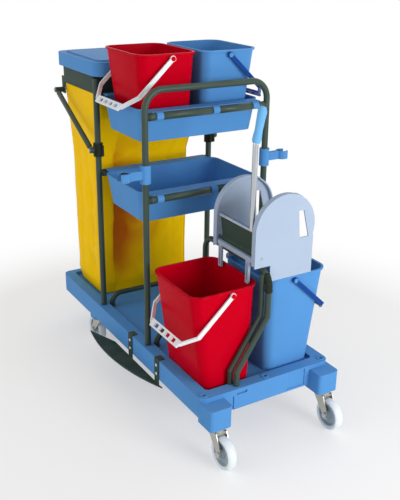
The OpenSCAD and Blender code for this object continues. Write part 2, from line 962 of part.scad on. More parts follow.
// Lower rail that ties the plates, with two prongs that hook over the red bucket's rim
module wringer_rail() {
    length = wringer_l - 2 * (wall + seat_gap);
    x0 = plate_x0 + wall + seat_gap;
    rail = [9, 14];
    rail_z = plate_z + notch_h + 10;
    prong_w = 16;
    prong_l = 84;
    rail_y = plate_y0 + wall + seat_gap;
    color(pale) {
        translate([x0, rail_y, rail_z])
            cube([length, rail[0], rail[1]]);
        for (x = [x0 + flange + 2, x0 + length - flange - prong_w - 14])
            translate([x, rail_y, rail_z + rail[1] - prong_l])
                difference() {
                    cube([prong_w, rail[0] - 2, prong_l]);
                    translate([prong_w / 2 - 2, -1, 6])
                        cube([4, 4, prong_l - 26]);
                }
    }
}

module hinge_rod() {
    color(steel)
        translate([plate_x0 - 3, hinge_y, hinge_z])
            bar_x(wringer_l + 3 - seat_gap, hinge_d / 2);
}

// Pressing jaw: a ribbed plate on a sleeve round the hinge rod
module press_jaw() {
    t = 5;
    ribs = 6;
    rib_pitch = (jaw_l - t) / ribs;
    color(olive)
        translate([wringer_mid - jaw_l / 2, hinge_y, hinge_z])
            rotate([jaw_lean, 0, 0])
                difference() {
                    union() {
                        bar_x(jaw_l, hinge_d / 2 + 4);
                        translate([0, -t / 2, 0])
                            cube([jaw_l, t, jaw_h]);
                        for (i = [0 : ribs])
                            translate([i * rib_pitch, 0, 0])
                                cube([t, 9, jaw_h - 14]);
                    }
                    translate([-1, 0, 0])
                        bar_x(jaw_l + 2, hinge_d / 2 + run_gap);
                }
}

// Lever of bent steel tube: a cross rod on the jaw's upper edge and an upright that leans at the grip
module press_lever() {
    rod_r = lever_d / 2 - 1;
    top = [lever_x, hinge_y, hinge_z] + rotated_up(jaw_h + rod_r + seat_gap);
    up = lever_h - jaw_h;
    color(steel) {
        translate([wringer_mid - jaw_l / 2, top[1], top[2]])
            bar_x(lever_x - wringer_mid + jaw_l / 2, rod_r);
        translate(top)
            sphere(rod_r + seat_gap / 3);
        translate(top)
            cylinder(h = up, r = lever_d / 2);
        translate(top + [0, 0, up]) {
            sphere(lever_d / 2);
            rotate([-grip_lean, 0, 0])
                cylinder(h = lever_grip_l - 6, r = lever_d / 2);
        }
    }
}

// Point at distance d from the hinge along the leaning jaw
function rotated_up(d) = [0, -d * sin(jaw_lean), d * cos(jaw_lean)];

module lever_grip() {
    rod_r = lever_d / 2 - 1;
    base = [lever_x, hinge_y, hinge_z] + rotated_up(jaw_h + rod_r + seat_gap) + [0, 0, lever_h - jaw_h];
    r = lever_d / 2 + 4;
    color("#7dbdea")
        translate(base)
            rotate([-grip_lean, 0, 0])
                difference() {
                    rotate_extrude()
                        polygon([[0, 6], [r - 1, 6], [r + 1, 16], [r - 1, 40], [r, 70], [r + 1, lever_grip_l - 14],
                            [r - 4, lever_grip_l - 2], [0, lever_grip_l]]);
                    translate([0, 0, -1])
                        cylinder(h = lever_grip_l - 4, r = lever_d / 2 + seat_gap / 3);
                }
}

// Flush screws that hold the basket and the rail in the side plates
module wringer_bolts() {
    color(steel)
        for (p = bolt_places) {
            translate([plate_x1 - bolt_head_t, p[0], p[1]])
                bar_x(bolt_head_t, bolt_head_r);
            translate([plate_x0, p[0], p[1]])
                bar_x(bolt_head_t, bolt_head_r);
        }
}

// Band that holds the bag's mouth, with ears for the lid's rod and lugs for the braces
module bag_ring() {
    color(olive)
        difference() {
            union() {
                translate([ring_mid, 0, ring_z])
                    linear_extrude(ring_h)
                        difference() {
                            round_rect(ring_l, ring_w, ring_r);
                            round_rect(ring_l - 2 * ring_t, ring_w - 2 * ring_t, ring_r - ring_t);
                        }
                for (s = [-1, 1]) {
                    translate([lid_axis[0], s * knuckle_y - ear_w / 2, lid_axis[1]])
                        rotate([-90, 0, 0])
                            cylinder(h = ear_w, r = knuckle_r);
                    translate([lid_axis[0], s * knuckle_y - ear_w / 2, lid_axis[1] - knuckle_r])
                        cube([ring_x0 + ring_t / 2 - lid_axis[0], ear_w, 2 * knuckle_r]);
                    translate([brace_top[0] - 13, s * (ring_w / 2 - ring_t / 2) - ring_t / 2, brace_top[1] - 13])
                        cube([26, ring_t, 60]);
                    translate([brace_top[0], s * (ring_w / 2 - ring_t), brace_top[1]])
                        rotate([-s * 90, 0, 0])
                            cylinder(h = brace_face - ring_w / 2 + ring_t, r = 9);
                }
            }
            translate([lid_axis[0], 0, lid_axis[1]])
                bar_y(3 * knuckle_y, lid_rod_d / 2 + seat_gap / 3);
            translate([brace_top[0], 0, brace_top[1]])
                bar_y(2 * ring_w, 3.2);
        }
}

module lid_hinge_rod() {
    color(steel)
        translate([lid_axis[0], 0, lid_axis[1]])
            bar_y(2 * (knuckle_y + ear_w / 2 + knuckle_w + 3), lid_rod_d / 2);
}

// Lid: a shallow cap with a raised panel and two hinge knuckles
module lid() {
    l = lid_x1 - lid_x0;
    mid = (lid_x0 + lid_x1) / 2;
    skirt = 3;
    color(blue)
        difference() {
            union() {
                translate([mid, 0, lid_z])
                    linear_extrude(lid_h)
                        difference() {
                            round_rect(l, lid_w, 36);
                            round_rect(l - 2 * skirt, lid_w - 2 * skirt, 36 - skirt);
                        }
                translate([mid, 0, lid_z + lid_h - lid_t])
                    linear_extrude(lid_t)
                        round_rect(l - skirt, lid_w - skirt, 36 - skirt / 2);
                translate([mid, 0, lid_z + lid_h - skin])
                    linear_extrude(4 + skin)
                        round_rect(l - 50, lid_w - 50, 24);
                for (s = [-1, 1])
                    translate([lid_axis[0], s * (knuckle_y + ear_w / 2 + knuckle_w / 2 + 1), lid_axis[1]]) {
                        bar_y(knuckle_w, knuckle_r);
                        translate([lid_x0 + skirt / 2 - lid_axis[0], -knuckle_w / 2, 0])
                            cube([lid_axis[0] - lid_x0 - skirt / 2, knuckle_w, knuckle_r]);
                    }
            }
            translate([lid_axis[0], 0, lid_axis[1]])
                bar_y(3 * knuckle_y, lid_rod_d / 2 + run_gap);
        }
}

// One closed form of the bag, drawn in by g: mouth in the ring, shoulders, body to the deck
module bag_form(g) {
    mouth_l = ring_l - 2 * ring_t - 2 * seat_gap - 2 * g;
    mouth_w = ring_w - 2 * ring_t - 2 * seat_gap - 2 * g;
    mouth_r = ring_r - ring_t - g;
    floor_x = bag_rear + bag_l / 2;
    floor_z = deck_z + seat_gap + g;
    mouth_z = ring_top - 10;
    translate([ring_mid, 0, ring_z - 2])
        linear_extrude(mouth_z - ring_z + 2 + (g > 0 ? 1 : 0))
            round_rect(mouth_l, mouth_w, mouth_r, hull_fn);
    hull() {
        translate([ring_mid, 0, ring_z - 2])
            linear_extrude(skin)
                round_rect(mouth_l, mouth_w, mouth_r, hull_fn);
        translate([floor_x, 0, deck_z + shoulder])
            linear_extrude(skin)
                round_rect(bag_l - 2 * g, bag_w - 2 * g, 30, hull_fn);
    }
    hull() {
        translate([floor_x, 0, deck_z + shoulder])
            linear_extrude(skin)
                round_rect(bag_l - 2 * g, bag_w - 2 * g, 30, hull_fn);
        translate([floor_x, 0, floor_z])
            linear_extrude(skin)
                round_rect(bag_l - 2 * g - 6, bag_w - 2 * g - 14, 40, hull_fn);
    }
}

module waste_bag() {
    color(yellow)
        difference() {
            bag_form(0);
            bag_form(bag_t);
        }
}

// Brace from the post's collar up to the ring's rear lug
module brace() {
    a = [brace_foot[0], brace_y, brace_foot[1]];
    b = [brace_top[0], brace_y, brace_top[1]];
    difference() {
        union() {
            bar_between(a, b, brace_d / 2);
            for (p = [a, b])
                translate(p)
                    bar_y(eye_w, brace_d / 2 + 4);
        }
        for (p = [a, b])
            translate(p)
                bar_y(2 * brace_d, 3.2);
    }
}

module left_brace() {
    color(olive)
        mirror([0, 1, 0])
            brace();
}

module right_brace() {
    color(olive)
        brace();
}

// Split collar clamped round the post, with a flat boss for the brace's foot
module collar() {
    r = tube_r + 6;
    boss_y = brace_face;
    translate([post_x, leg_y, collar_z])
        difference() {
            union() {
                cylinder(h = collar_h, r = r, center = true);
                translate([0, boss_y - leg_y, 0])
                    rotate([90, 0, 0])
                        cylinder(h = boss_y - leg_y, r = 12);
                translate([r - 3, -9, -collar_h / 2 + 4])
                    cube([14, 18, collar_h - 8]);
            }
            cylinder(h = collar_h + 2, r = tube_r + seat_gap / 3, center = true);
            translate([0, boss_y - leg_y, 0])
                bar_y(14, 3.2);
            translate([0, -1.5, -collar_h])
                cube([r + 20, 3, 2 * collar_h]);
        }
}

module left_collar() {
    color(dark)
        mirror([0, 1, 0])
            collar();
}

module right_collar() {
    color(dark)
        collar();
}

// Bolts through the braces' ends
module brace_bolts() {
    outer = brace_y + eye_w / 2;
    shank = eye_w + 7;
    color(steel)
        for (s = [0, 1], p = [brace_top, brace_foot])
            mirror([0, s, 0])
                translate([p[0], outer + seat_gap, p[1]])
                    rotate([-90, 0, 0]) {
                        cylinder(h = 4, r = 6, $fn = 6);
                        translate([0, 0, 1 - shank])
                            cylinder(h = shank, r = 3);
                    }
}

// Mop rest: a curved ledge under two straps that hook over the left rail
module mop_rest() {
    side = -base_w / 2 - seat_gap;
    rest_x1 = base_front - rest_ahead;
    rest_x0 = rest_x1 - rest_l;
    z = rail_top - rest_drop;
    strap_x = [rest_x0 + rest_l / 2 + 12, rest_x1 - 34];
    strap = 26;
    color(olive) {
        translate([0, 0, z]) {
            linear_extrude(rest_t)
                rest_outline(rest_x0, side, 0);
            linear_extrude(rest_t * 1.5)
                difference() {
                    rest_outline(rest_x0, side, 0);
                    rest_disc(rest_x0, side, rest_t);
                }
        }
        for (x = strap_x)
            translate([x - strap / 2, side, z]) {
                translate([0, -rest_t, 0])
                    cube([strap, rest_t, rest_drop + seat_gap + rest_t]);
                translate([0, -rest_t, rest_drop + seat_gap])
                    cube([strap, rail_w / 2 + rest_t, rest_t]);
            }
    }
}

// Radius of the mop rest's outer edge, which meets the rail's side at the nose
function rest_edge() = ((rest_l - rest_belly) ^ 2 + rest_reach ^ 2) / (2 * rest_reach);

// Disc whose rim is the mop rest's outer edge, drawn in by g
module rest_disc(x0, side, g) {
    translate([x0 + rest_belly, side - rest_reach + rest_edge()])
        circle(rest_edge() - g, $fn = 240);
}

// Outline of the mop rest: pointed at its rear, widest before its middle, drawn in to the rail at its nose
module rest_outline(x0, side, g) {
    tip = rest_reach - rest_edge() + sqrt(rest_edge() ^ 2 - rest_belly ^ 2);
    intersection() {
        rest_disc(x0, side, g);
        polygon([[x0, side - rest_reach], [x0 + rest_l, side - rest_reach], [x0 + rest_l, side],
            [x0 + rest_cut, side], [x0, side - tip]]);
    }
}

// Handle clip: ring round a hoop leg and a jaw that opens outwards
module clip() {
    jaw_r = clip_jaw / 2;
    jaw_t = 5;
    jaw_y = clip_reach + jaw_r - 6;
    jaw_h = 26;
    difference() {
        union() {
            cylinder(h = clip_h, r = clip_r, center = true);
            translate([-8, clip_r - 3, -jaw_h / 2])
                cube([16, jaw_y - jaw_r - clip_r + 5, jaw_h]);
            translate([0, jaw_y, 0])
                cylinder(h = jaw_h, r = jaw_r + jaw_t, center = true);
        }
        cylinder(h = clip_h + 2, r = tube_r + run_gap, center = true);
        translate([0, jaw_y, 0])
            cylinder(h = jaw_h + 2, r = jaw_r, center = true);
        translate([-clip_jaw * 0.42, jaw_y, -jaw_h])
            cube([clip_jaw * 0.84, clip_jaw * 2, 2 * jaw_h]);
    }
}

// Rubber lining in the clip's jaw
module clip_lining() {
    jaw_r = clip_jaw / 2;
    jaw_y = clip_reach + jaw_r - 6;
    lining_t = 2.5;
    difference() {
        translate([0, jaw_y, 0])
            cylinder(h = 20, r = jaw_r - seat_gap / 3, center = true);
        translate([0, jaw_y, 0])
            cylinder(h = 22, r = jaw_r - lining_t, center = true);
        translate([-clip_jaw, jaw_y + 2, -20])
            cube([clip_jaw * 2, clip_jaw * 2, 40]);
    }
}

module at_clip(s) {
    mirror([0, s, 0])
        translate([hoop_x, leg_y, clip_z])
            children();
}

module left_clip() {
    color(blue)
        at_clip(1)
            clip();
}

module right_clip() {
    color(blue)
        at_clip(0)
            clip();
}

module left_clip_pad() {
    color(dark)
        at_clip(1)
            clip_lining();
}

module right_clip_pad() {
    color(dark)
        at_clip(0)
            clip_lining();
}

// Places a caster piece made about its swivel axis; the wheels trail away from the cart's middle
module at_caster(front, left) {
    translate([front ? front_axis : rear_axis, (left ? -1 : 1) * caster_y, 0])
        mirror([front ? 0 : 1, 0, 0])
            children();
}

// Fork with its stem, bearing cup and two cheeks
module fork() {
    gap = wheel_w / 2 + 2;
    crown_z = wheel_d + wheel_gap;
    cup_r = 24;
    axle_z = wheel_d / 2;
    color(steel)
        difference() {
            union() {
                translate([0, 0, crown_z + crown_t - 1])
                    cylinder(h = race_h + 1 - seat_gap, r = cup_r);
                translate([0, 0, crown_z])
                    cylinder(h = stem_l + crown_t + race_h - seat_gap, r = stem_d / 2);
                translate([-cup_r, -gap - fork_t, crown_z])
                    cube([cup_r * 2, 2 * (gap + fork_t), crown_t]);
                for (s = [-1, 1])
                    translate([0, s * (gap + fork_t / 2) + fork_t / 2, 0])
                        rotate([90, 0, 0])
                            linear_extrude(fork_t) {
                                polygon([[-cup_r, crown_z + crown_t], [cup_r, crown_z + crown_t],
                                    [trail + 12, axle_z + 4], [trail + 8, axle_z - 8], [trail - 8, axle_z - 10],
                                    [trail - 13, axle_z]]);
                                translate([trail, axle_z])
                                    circle(13);
                            }
            }
            translate([trail, 0, axle_z])
                bar_y(3 * wheel_w, axle_d / 2 + seat_gap / 3);
        }
}

// Wheel centre with a dished web, turned about its axle
module wheel() {
    hub_r = axle_d / 2 + 8;
    rim_r = wheel_d / 2 - tyre_t;
    half = wheel_w / 2;
    bore = axle_d / 2 + run_gap;
    color("#8fa3ad")
        translate([trail, 0, wheel_d / 2])
            rotate([90, 0, 0])
                rotate_extrude()
                    polygon([[bore, -half - 1.5], [hub_r, -half - 1.5], [hub_r + 2, -5], [rim_r - 5, -4],
                        [rim_r - 3, -half + 2], [rim_r, -half + 2], [rim_r, half - 2], [rim_r - 3, half - 2],
                        [rim_r - 5, 4], [hub_r + 2, 5], [hub_r, half + 1.5], [bore, half + 1.5]]);
}

module tyre() {
    rim_r = wheel_d / 2 - tyre_t + seat_gap / 6;
    half = wheel_w / 2;
    r = wheel_d / 2;
    color(white)
        translate([trail, 0, r])
            rotate([90, 0, 0])
                rotate_extrude($fn = 72)
                    polygon([[rim_r, 3 - half], [r - 5, -half], [r - 1.5, 4 - half], [r, 9 - half],
                        [r, half - 9], [r - 1.5, half - 4], [r - 5, half], [rim_r, half - 3]]);
}

module axle() {
    outer = wheel_w / 2 + 2 + fork_t;
    color(steel)
        translate([trail, 0, wheel_d / 2]) {
            bar_y(2 * outer + 8, axle_d / 2);
            for (s = [-1, 1])
                translate([0, s * (outer + seat_gap + 2.5), 0])
                    bar_y(5, axle_d / 2 + 4);
        }
}

chassis();
front_hoop();
rear_posts();
front_stop_bar();
rear_stop_bar();
wringer_arch();
tube_caps();
upper_tray();
middle_tray();
bag_ring();
waste_bag();
lid();
lid_hinge_rod();
left_brace();
right_brace();
left_collar();
right_collar();
brace_bolts();
large_red_bucket();
large_blue_bucket();
small_red_bucket();
small_blue_bucket();
large_red_bail();
large_blue_bail();
small_red_bail();
small_blue_bail();
wringer_front_plate();
wringer_rear_plate();
wringer_basket();
wringer_rail();
hinge_rod();
press_jaw();
press_lever();
lever_grip();
wringer_bolts();
mop_rest();
left_clip();
right_clip();
left_clip_pad();
right_clip_pad();
at_caster(true, true) fork();  // front_left_fork
at_caster(true, false) fork();  // front_right_fork
at_caster(false, true) fork();  // rear_left_fork
at_caster(false, false) fork();  // rear_right_fork
at_caster(true, true) wheel();  // front_left_wheel
at_caster(true, false) wheel();  // front_right_wheel
at_caster(false, true) wheel();  // rear_left_wheel
at_caster(false, false) wheel();  // rear_right_wheel
at_caster(true, true) tyre();  // front_left_tyre
at_caster(true, false) tyre();  // front_right_tyre
at_caster(false, true) tyre();  // rear_left_tyre
at_caster(false, false) tyre();  // rear_right_tyre
at_caster(true, true) axle();  // front_left_axle
at_caster(true, false) axle();  // front_right_axle
at_caster(false, true) axle();  // rear_left_axle
at_caster(false, false) axle();  // rear_right_axle
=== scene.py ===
"""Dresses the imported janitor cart: finishes for its solids, its waste bag, small hardware and a pale studio."""
import math
from collections import namedtuple

import bmesh
import bpy
from bpy.props import FloatProperty, FloatVectorProperty, IntProperty, PointerProperty
from mathutils import Matrix, Vector, noise


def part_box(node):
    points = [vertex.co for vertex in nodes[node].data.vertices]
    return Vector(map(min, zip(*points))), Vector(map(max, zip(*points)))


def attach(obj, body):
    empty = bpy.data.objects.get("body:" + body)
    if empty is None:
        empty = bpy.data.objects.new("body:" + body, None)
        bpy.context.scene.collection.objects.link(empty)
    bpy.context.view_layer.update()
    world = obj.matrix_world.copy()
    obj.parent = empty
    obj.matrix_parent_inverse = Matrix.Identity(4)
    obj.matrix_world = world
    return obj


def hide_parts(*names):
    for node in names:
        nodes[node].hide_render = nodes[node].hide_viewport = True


bl_info = {
    "name": "Janitor cart dressing",
    "version": (1, 0, 0),
    "blender": (4, 5, 0),
    "location": "View3D > Sidebar > Cart",
    "description": "Finishes, waste bag, hardware and studio for a janitor cart",
    "category": "Object",
}

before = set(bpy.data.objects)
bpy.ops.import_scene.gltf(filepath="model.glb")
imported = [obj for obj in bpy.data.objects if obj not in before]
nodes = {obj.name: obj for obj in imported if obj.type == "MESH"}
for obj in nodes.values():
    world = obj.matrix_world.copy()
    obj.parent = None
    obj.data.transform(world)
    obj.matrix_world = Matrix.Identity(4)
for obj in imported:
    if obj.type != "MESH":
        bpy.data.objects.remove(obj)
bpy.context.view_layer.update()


# Settings

def linear(code):
    """Linear colour of a web colour code."""
    out = []
    for i in (1, 3, 5):
        v = int(code[i:i + 2], 16) / 255
        out.append(v / 12.92 if v <= 0.04045 else ((v + 0.055) / 1.055) ** 2.4)
    return tuple(out)


def colour(label, text, code):
    """Colour property with its default given as a web code."""
    return FloatVectorProperty(name=label, description=text, default=linear(code), subtype="COLOR",
                               min=0, max=1)


def length(label, text, metres):
    """Length property with its default in metres."""
    return FloatProperty(name=label, description=text, default=metres, unit="LENGTH")


def power(label, text, watts):
    """Power property with its default in watts."""
    return FloatProperty(name=label, description=text, default=watts, unit="POWER")


class CartColours(bpy.types.PropertyGroup):
    """Colours of the cart's finishes."""

    moulding: colour("Moulding blue", "Base, trays, lid, blue buckets and clips", "#5490cc")
    bucket_red: colour("Bucket red", "Red buckets", "#c2001c")
    tube: colour("Tube olive", "Painted tubes, ring, braces and mop rest", "#394a41")
    bail_white: colour("Bail white", "Bails of the red buckets", "#eef2f4")
    bail_navy: colour("Bail navy", "Bails of the blue buckets", "#1b458f")
    wringer: colour("Wringer grey", "Side plates, basket and rail of the wringer", "#a8b8cd")
    jaw: colour("Jaw olive", "Pressing jaw", "#3d4d43")
    grip: colour("Grip sky", "Grip of the press lever", "#6fb2e6")
    steel: colour("Steel", "Lever, rods, axles and bolts", "#b8bcc0")
    fork: colour("Fork steel", "Caster forks", "#b9b8ae")
    tyre: colour("Tyre white", "Tyres", "#dfe6ea")
    hub: colour("Hub grey", "Wheel centres", "#a3b2bd")
    dark: colour("Dark plastic", "Caps and collars", "#2c322b")
    rubber: colour("Clip rubber", "Linings of the handle clips", "#20241e")
    bag: colour("Bag yellow", "Waste bag", "#ffcc00")
    # Painted shade laid into the deep folds of the bag; a darker copy of it is the real colour of the stitching
    # thread
    bag_shade_and_thread: colour("Bag shade", "Folds and seams of the waste bag", "#cc5a12")


class BagSizes(bpy.types.PropertyGroup):
    """Form of the hanging waste bag."""

    fold: length("Fold depth", "Depth of the hanging folds", 0.005)
    slump: length("Slump", "Bulge of the filled foot", 0.008)
    hem: length("Hem", "Height of the hem at the mouth", 0.03)
    sheet: length("Sheet", "Thickness of the sheet", 0.0008)
    around: IntProperty(name="Around", description="Points round the bag", default=280, min=80)
    rows: IntProperty(name="Rows", description="Rows from foot to mouth", default=150, min=60)
    stitch: length("Stitch", "Length of a stitch with its gap", 0.007)


class StageSettings(bpy.types.PropertyGroup):
    """Floor, lamps and camera."""

    floor: colour("Floor", "Floor and backdrop", "#f7f7f7")
    key: power("Key lamp", "Power of the key lamp", 74)
    fill: power("Fill lamp", "Power of the fill lamp", 27)
    rim: power("Rim lamp", "Power of the rim lamp", 16)
    sky: FloatProperty(name="Sky", description="Strength of the plain sky", default=0.56)
    lens: FloatProperty(name="Lens", description="Focal length in millimetres", default=54.4)


# Shader nodes

def plug(tree, socket, value):
    """Links a socket to another one, or sets it to a number, a vector or a colour."""
    if hasattr(value, "is_output"):
        tree.links.new(value, socket)
    elif socket.type == "RGBA":
        socket.default_value = (*value[:3], 1)
    else:
        socket.default_value = value


def feed(tree, node, **values):
    """Links or sets inputs of a node by name, with underscores for blanks."""
    for key, value in values.items():
        plug(tree, node.inputs[key.replace("_", " ")], value)


def math_node(tree, kind, a, b=None, clamp=False):
    """Math node with sockets or numbers as inputs; returns its output."""
    node = tree.nodes.new("ShaderNodeMath")
    node.operation = kind
    node.use_clamp = clamp
    plug(tree, node.inputs[0], a)
    if b is not None:
        plug(tree, node.inputs[1], b)
    return node.outputs[0]


def mix_colour(tree, factor, a, b):
    """Colour mix of two sockets or colours, by the colour sockets of a Mix node; returns its output."""
    node = tree.nodes.new("ShaderNodeMix")
    node.data_type = "RGBA"
    for index, value in ((0, factor), (6, a), (7, b)):
        plug(tree, node.inputs[index], value)
    return node.outputs[2]


def noise_node(tree, scale, detail, rough=0.5, vector=None):
    """Noise over a vector or the object's own coordinates; returns its value output."""
    node = tree.nodes.new("ShaderNodeTexNoise")
    if vector is None:
        vector = tree.nodes.new("ShaderNodeTexCoord").outputs["Object"]
    feed(tree, node, Scale=scale, Detail=detail, Roughness=rough, Vector=vector)
    return node.outputs[0]


def ramp_node(tree, value, low, high):
    """Smooth step of a value from low to high."""
    node = tree.nodes.new("ShaderNodeMapRange")
    node.interpolation_type = "SMOOTHSTEP"
    feed(tree, node, Value=value, From_Min=low, From_Max=high)
    return node.outputs[0]


def vector_node(tree, kind, a, b=None):
    """Vector math node with its inputs linked."""
    node = tree.nodes.new("ShaderNodeVectorMath")
    node.operation = kind
    plug(tree, node.inputs[0], a)
    if b is not None:
        plug(tree, node.inputs[1], b)
    return node


def bevel_node(tree, radius, samples):
    """Normal of edges rounded by a radius."""
    node = tree.nodes.new("ShaderNodeBevel")
    node.samples = samples
    feed(tree, node, Radius=radius)
    return node.outputs[0]


# Shader node groups

GREY = (0.5, 0.5, 0.5, 1)
WEAR_RADIUS = 0.0022


def new_group(name, inputs, outputs):
    """Empty shader group with named sockets, and its input and output nodes."""
    group = bpy.data.node_groups.new(name, "ShaderNodeTree")
    for label, kind, default in inputs:
        socket = group.interface.new_socket(label, in_out="INPUT", socket_type="NodeSocket" + kind)
        socket.default_value = default
    for label, kind in outputs:
        group.interface.new_socket(label, in_out="OUTPUT", socket_type="NodeSocket" + kind)
    return group, group.nodes.new("NodeGroupInput"), group.nodes.new("NodeGroupOutput")


def lay_over(group, inp, out, cover, one, two):
    """Lays a group's covering colour over its own where two masks meet, by the group's amount."""
    both = math_node(group, "MULTIPLY", one, two)
    mask = math_node(group, "MULTIPLY", both, inp.outputs["Amount"], clamp=True)
    feed(group, out, Colour=mix_colour(group, mask, inp.outputs["Colour"], inp.outputs[cover]), Mask=mask)


def moulded_group():
    """Moulded plastic: slow tone changes, a fine grain and faint rubbed patches."""
    group, inp, out = new_group(
        "Moulded surface",
        [("Colour", "Color", GREY), ("Tone", "Float", 0.12), ("Roughness", "Float", 0.35),
         ("Grain Scale", "Float", 700.0)],
        [("Colour", "Color"), ("Roughness", "Float"), ("Height", "Float")])
    slow = noise_node(group, scale=5.0, detail=3.0)
    swing = math_node(group, "MULTIPLY", math_node(group, "SUBTRACT", slow, 0.5), inp.outputs["Tone"])
    hue = group.nodes.new("ShaderNodeHueSaturation")
    feed(group, hue, Value=math_node(group, "ADD", swing, 1.0), Color=inp.outputs["Colour"])
    rub = ramp_node(group, noise_node(group, scale=22.0, detail=6.0, rough=0.7), low=0.52, high=0.72)
    rough = math_node(group, "ADD", inp.outputs["Roughness"], math_node(group, "MULTIPLY", rub, 0.14))
    grain = noise_node(group, inp.outputs["Grain Scale"], detail=1.0)
    feed(group, out, Colour=hue.outputs[0], Roughness=rough, Height=grain)
    return group


def wear_group():
    """Edges rubbed lighter or bare, broken up by noise."""
    group, inp, out = new_group(
        "Edge wear",
        [("Colour", "Color", GREY), ("Worn", "Color", (0.8, 0.8, 0.8, 1)), ("Amount", "Float", 0.5)],
        [("Colour", "Color"), ("Mask", "Float")])
    geometry = group.nodes.new("ShaderNodeNewGeometry")
    rounded = bevel_node(group, WEAR_RADIUS, samples=4)
    alike = vector_node(group, "DOT_PRODUCT", rounded, geometry.outputs["Normal"])
    edge = ramp_node(group, math_node(group, "SUBTRACT", 1.0, alike.outputs["Value"]), low=0.02, high=0.22)
    broken = ramp_node(group, noise_node(group, scale=60.0, detail=5.0, rough=0.75), low=0.38, high=0.66)
    lay_over(group, inp, out, "Worn", edge, broken)
    return group


def dust_group():
    """Thin dust on faces that look up, thicker in patches."""
    group, inp, out = new_group(
        "Settled dust",
        [("Colour", "Color", GREY), ("Dust", "Color", (0.55, 0.53, 0.5, 1)), ("Amount", "Float", 0.1)],
        [("Colour", "Color"), ("Mask", "Float")])
    geometry = group.nodes.new("ShaderNodeNewGeometry")
    split = group.nodes.new("ShaderNodeSeparateXYZ")
    feed(group, split, Vector=geometry.outputs["Normal"])
    up = ramp_node(group, split.outputs["Z"], low=0.25, high=0.95)
    patch = ramp_node(group, noise_node(group, scale=14.0, detail=6.0, rough=0.65), low=0.35, high=0.8)
    lay_over(group, inp, out, "Dust", up, patch)
    return group


def weave_group():
    """Coated plain weave read from the bag's own length and height in metres."""
    group, inp, out = new_group(
        "Coated weave",
        [("Pitch", "Float", 900.0)],
        [("Height", "Float"), ("Mask", "Float")])
    split = group.nodes.new("ShaderNodeSeparateXYZ")
    feed(group, split, Vector=group.nodes.new("ShaderNodeTexCoord").outputs["UV"])
    waves = []
    for axis in ("X", "Y"):
        turn = math_node(group, "MULTIPLY", split.outputs[axis], inp.outputs["Pitch"])
        waves.append(math_node(group, "SINE", math_node(group, "MULTIPLY", turn, 2 * math.pi)))
    height = math_node(group, "MULTIPLY", waves[0], waves[1])
    height = math_node(group, "ADD", math_node(group, "MULTIPLY", height, 0.5), 0.5)
    feed(group, out, Height=height, Mask=math_node(group, "MAXIMUM", waves[0], waves[1]))
    return group


def brushed_group():
    """Fine brush lines along one axis of the object."""
    group, inp, out = new_group(
        "Brushed lines",
        [("Along", "Vector", (1.0, 1.0, 1.0)), ("Roughness", "Float", 0.3)],
        [("Roughness", "Float"), ("Height", "Float")])
    coord = group.nodes.new("ShaderNodeTexCoord").outputs["Object"]
    stretched = vector_node(group, "MULTIPLY", coord, inp.outputs["Along"])
    lines = noise_node(group, scale=90.0, detail=3.0, vector=stretched.outputs[0])
    cloud = math_node(group, "SUBTRACT", noise_node(group, scale=18.0, detail=4.0), 0.5)
    rough = math_node(group, "ADD", inp.outputs["Roughness"], math_node(group, "MULTIPLY", cloud, 0.3))
    rough = math_node(group, "ADD", rough, math_node(group, "MULTIPLY", lines, 0.08))
    feed(group, out, Roughness=rough, Height=lines)
    return group


MAKERS = {"Moulded surface": moulded_group, "Edge wear": wear_group, "Settled dust": dust_group,
          "Coated weave": weave_group, "Brushed lines": brushed_group}


def group_node(tree, name, **values):
    """Places a shared group, made when first asked for, with sockets or constants by input name."""
    node = tree.nodes.new("ShaderNodeGroup")
    node.node_tree = bpy.data.node_groups.get(name) or MAKERS[name]()
    feed(tree, node, **values)
    return node


# Materials

PLASTIC_GLOSS = 0.025
RED_GLOSS = 0.015
BAND_GLOSS = 0.05
THREAD_GLINT = (1.0, 0.84, 0.05)

Mould = namedtuple("Mould", "roughness tone grain relief wear dust")
MOULDS = {
    "Blue moulding": Mould(0.36, 0.16, 620.0, 0.16, 0.40, 0.03),
    "Blue bucket": Mould(0.28, 0.12, 820.0, 0.08, 0.35, 0.02),
    "Blue clip": Mould(0.32, 0.10, 700.0, 0.10, 0.35, 0.05),
    "Red bucket": Mould(0.26, 0.14, 820.0, 0.06, 0.22, 0.01),
    "White bail": Mould(0.30, 0.08, 700.0, 0.08, 0.30, 0.08),
    "Navy bail": Mould(0.30, 0.10, 700.0, 0.08, 0.40, 0.08),
    "Dark collar": Mould(0.50, 0.10, 500.0, 0.20, 0.30, 0.10),
    "Wringer plate": Mould(0.34, 0.10, 560.0, 0.14, 0.45, 0.08),
    "Press jaw": Mould(0.48, 0.14, 520.0, 0.20, 0.35, 0.10),
    "Lever grip": Mould(0.38, 0.10, 420.0, 0.20, 0.25, 0.05),
    "Wheel centre": Mould(0.42, 0.14, 520.0, 0.15, 0.30, 0.10),
    "Bag thread": Mould(0.60, 0.10, 900.0, 0.20, 0.0, 0.0),
}


def shaded(tint, share):
    """Darker tone of a colour."""
    return tuple(c * share for c in tint)


def new_material(name):
    """Material with a Principled shader; returns the material, its tree and the shader."""
    material = bpy.data.materials.new(name)
    material.use_nodes = True
    return material, material.node_tree, material.node_tree.nodes["Principled BSDF"]


def bump(tree, shader, height, strength, distance, rounding=0.0):
    """Bump on the shader's normal, over edges that are rounded by a small radius."""
    node = tree.nodes.new("ShaderNodeBump")
    feed(tree, node, Strength=strength, Distance=distance, Height=height)
    if rounding:
        feed(tree, node, Normal=bevel_node(tree, rounding, samples=6))
    feed(tree, shader, Normal=node.outputs[0])


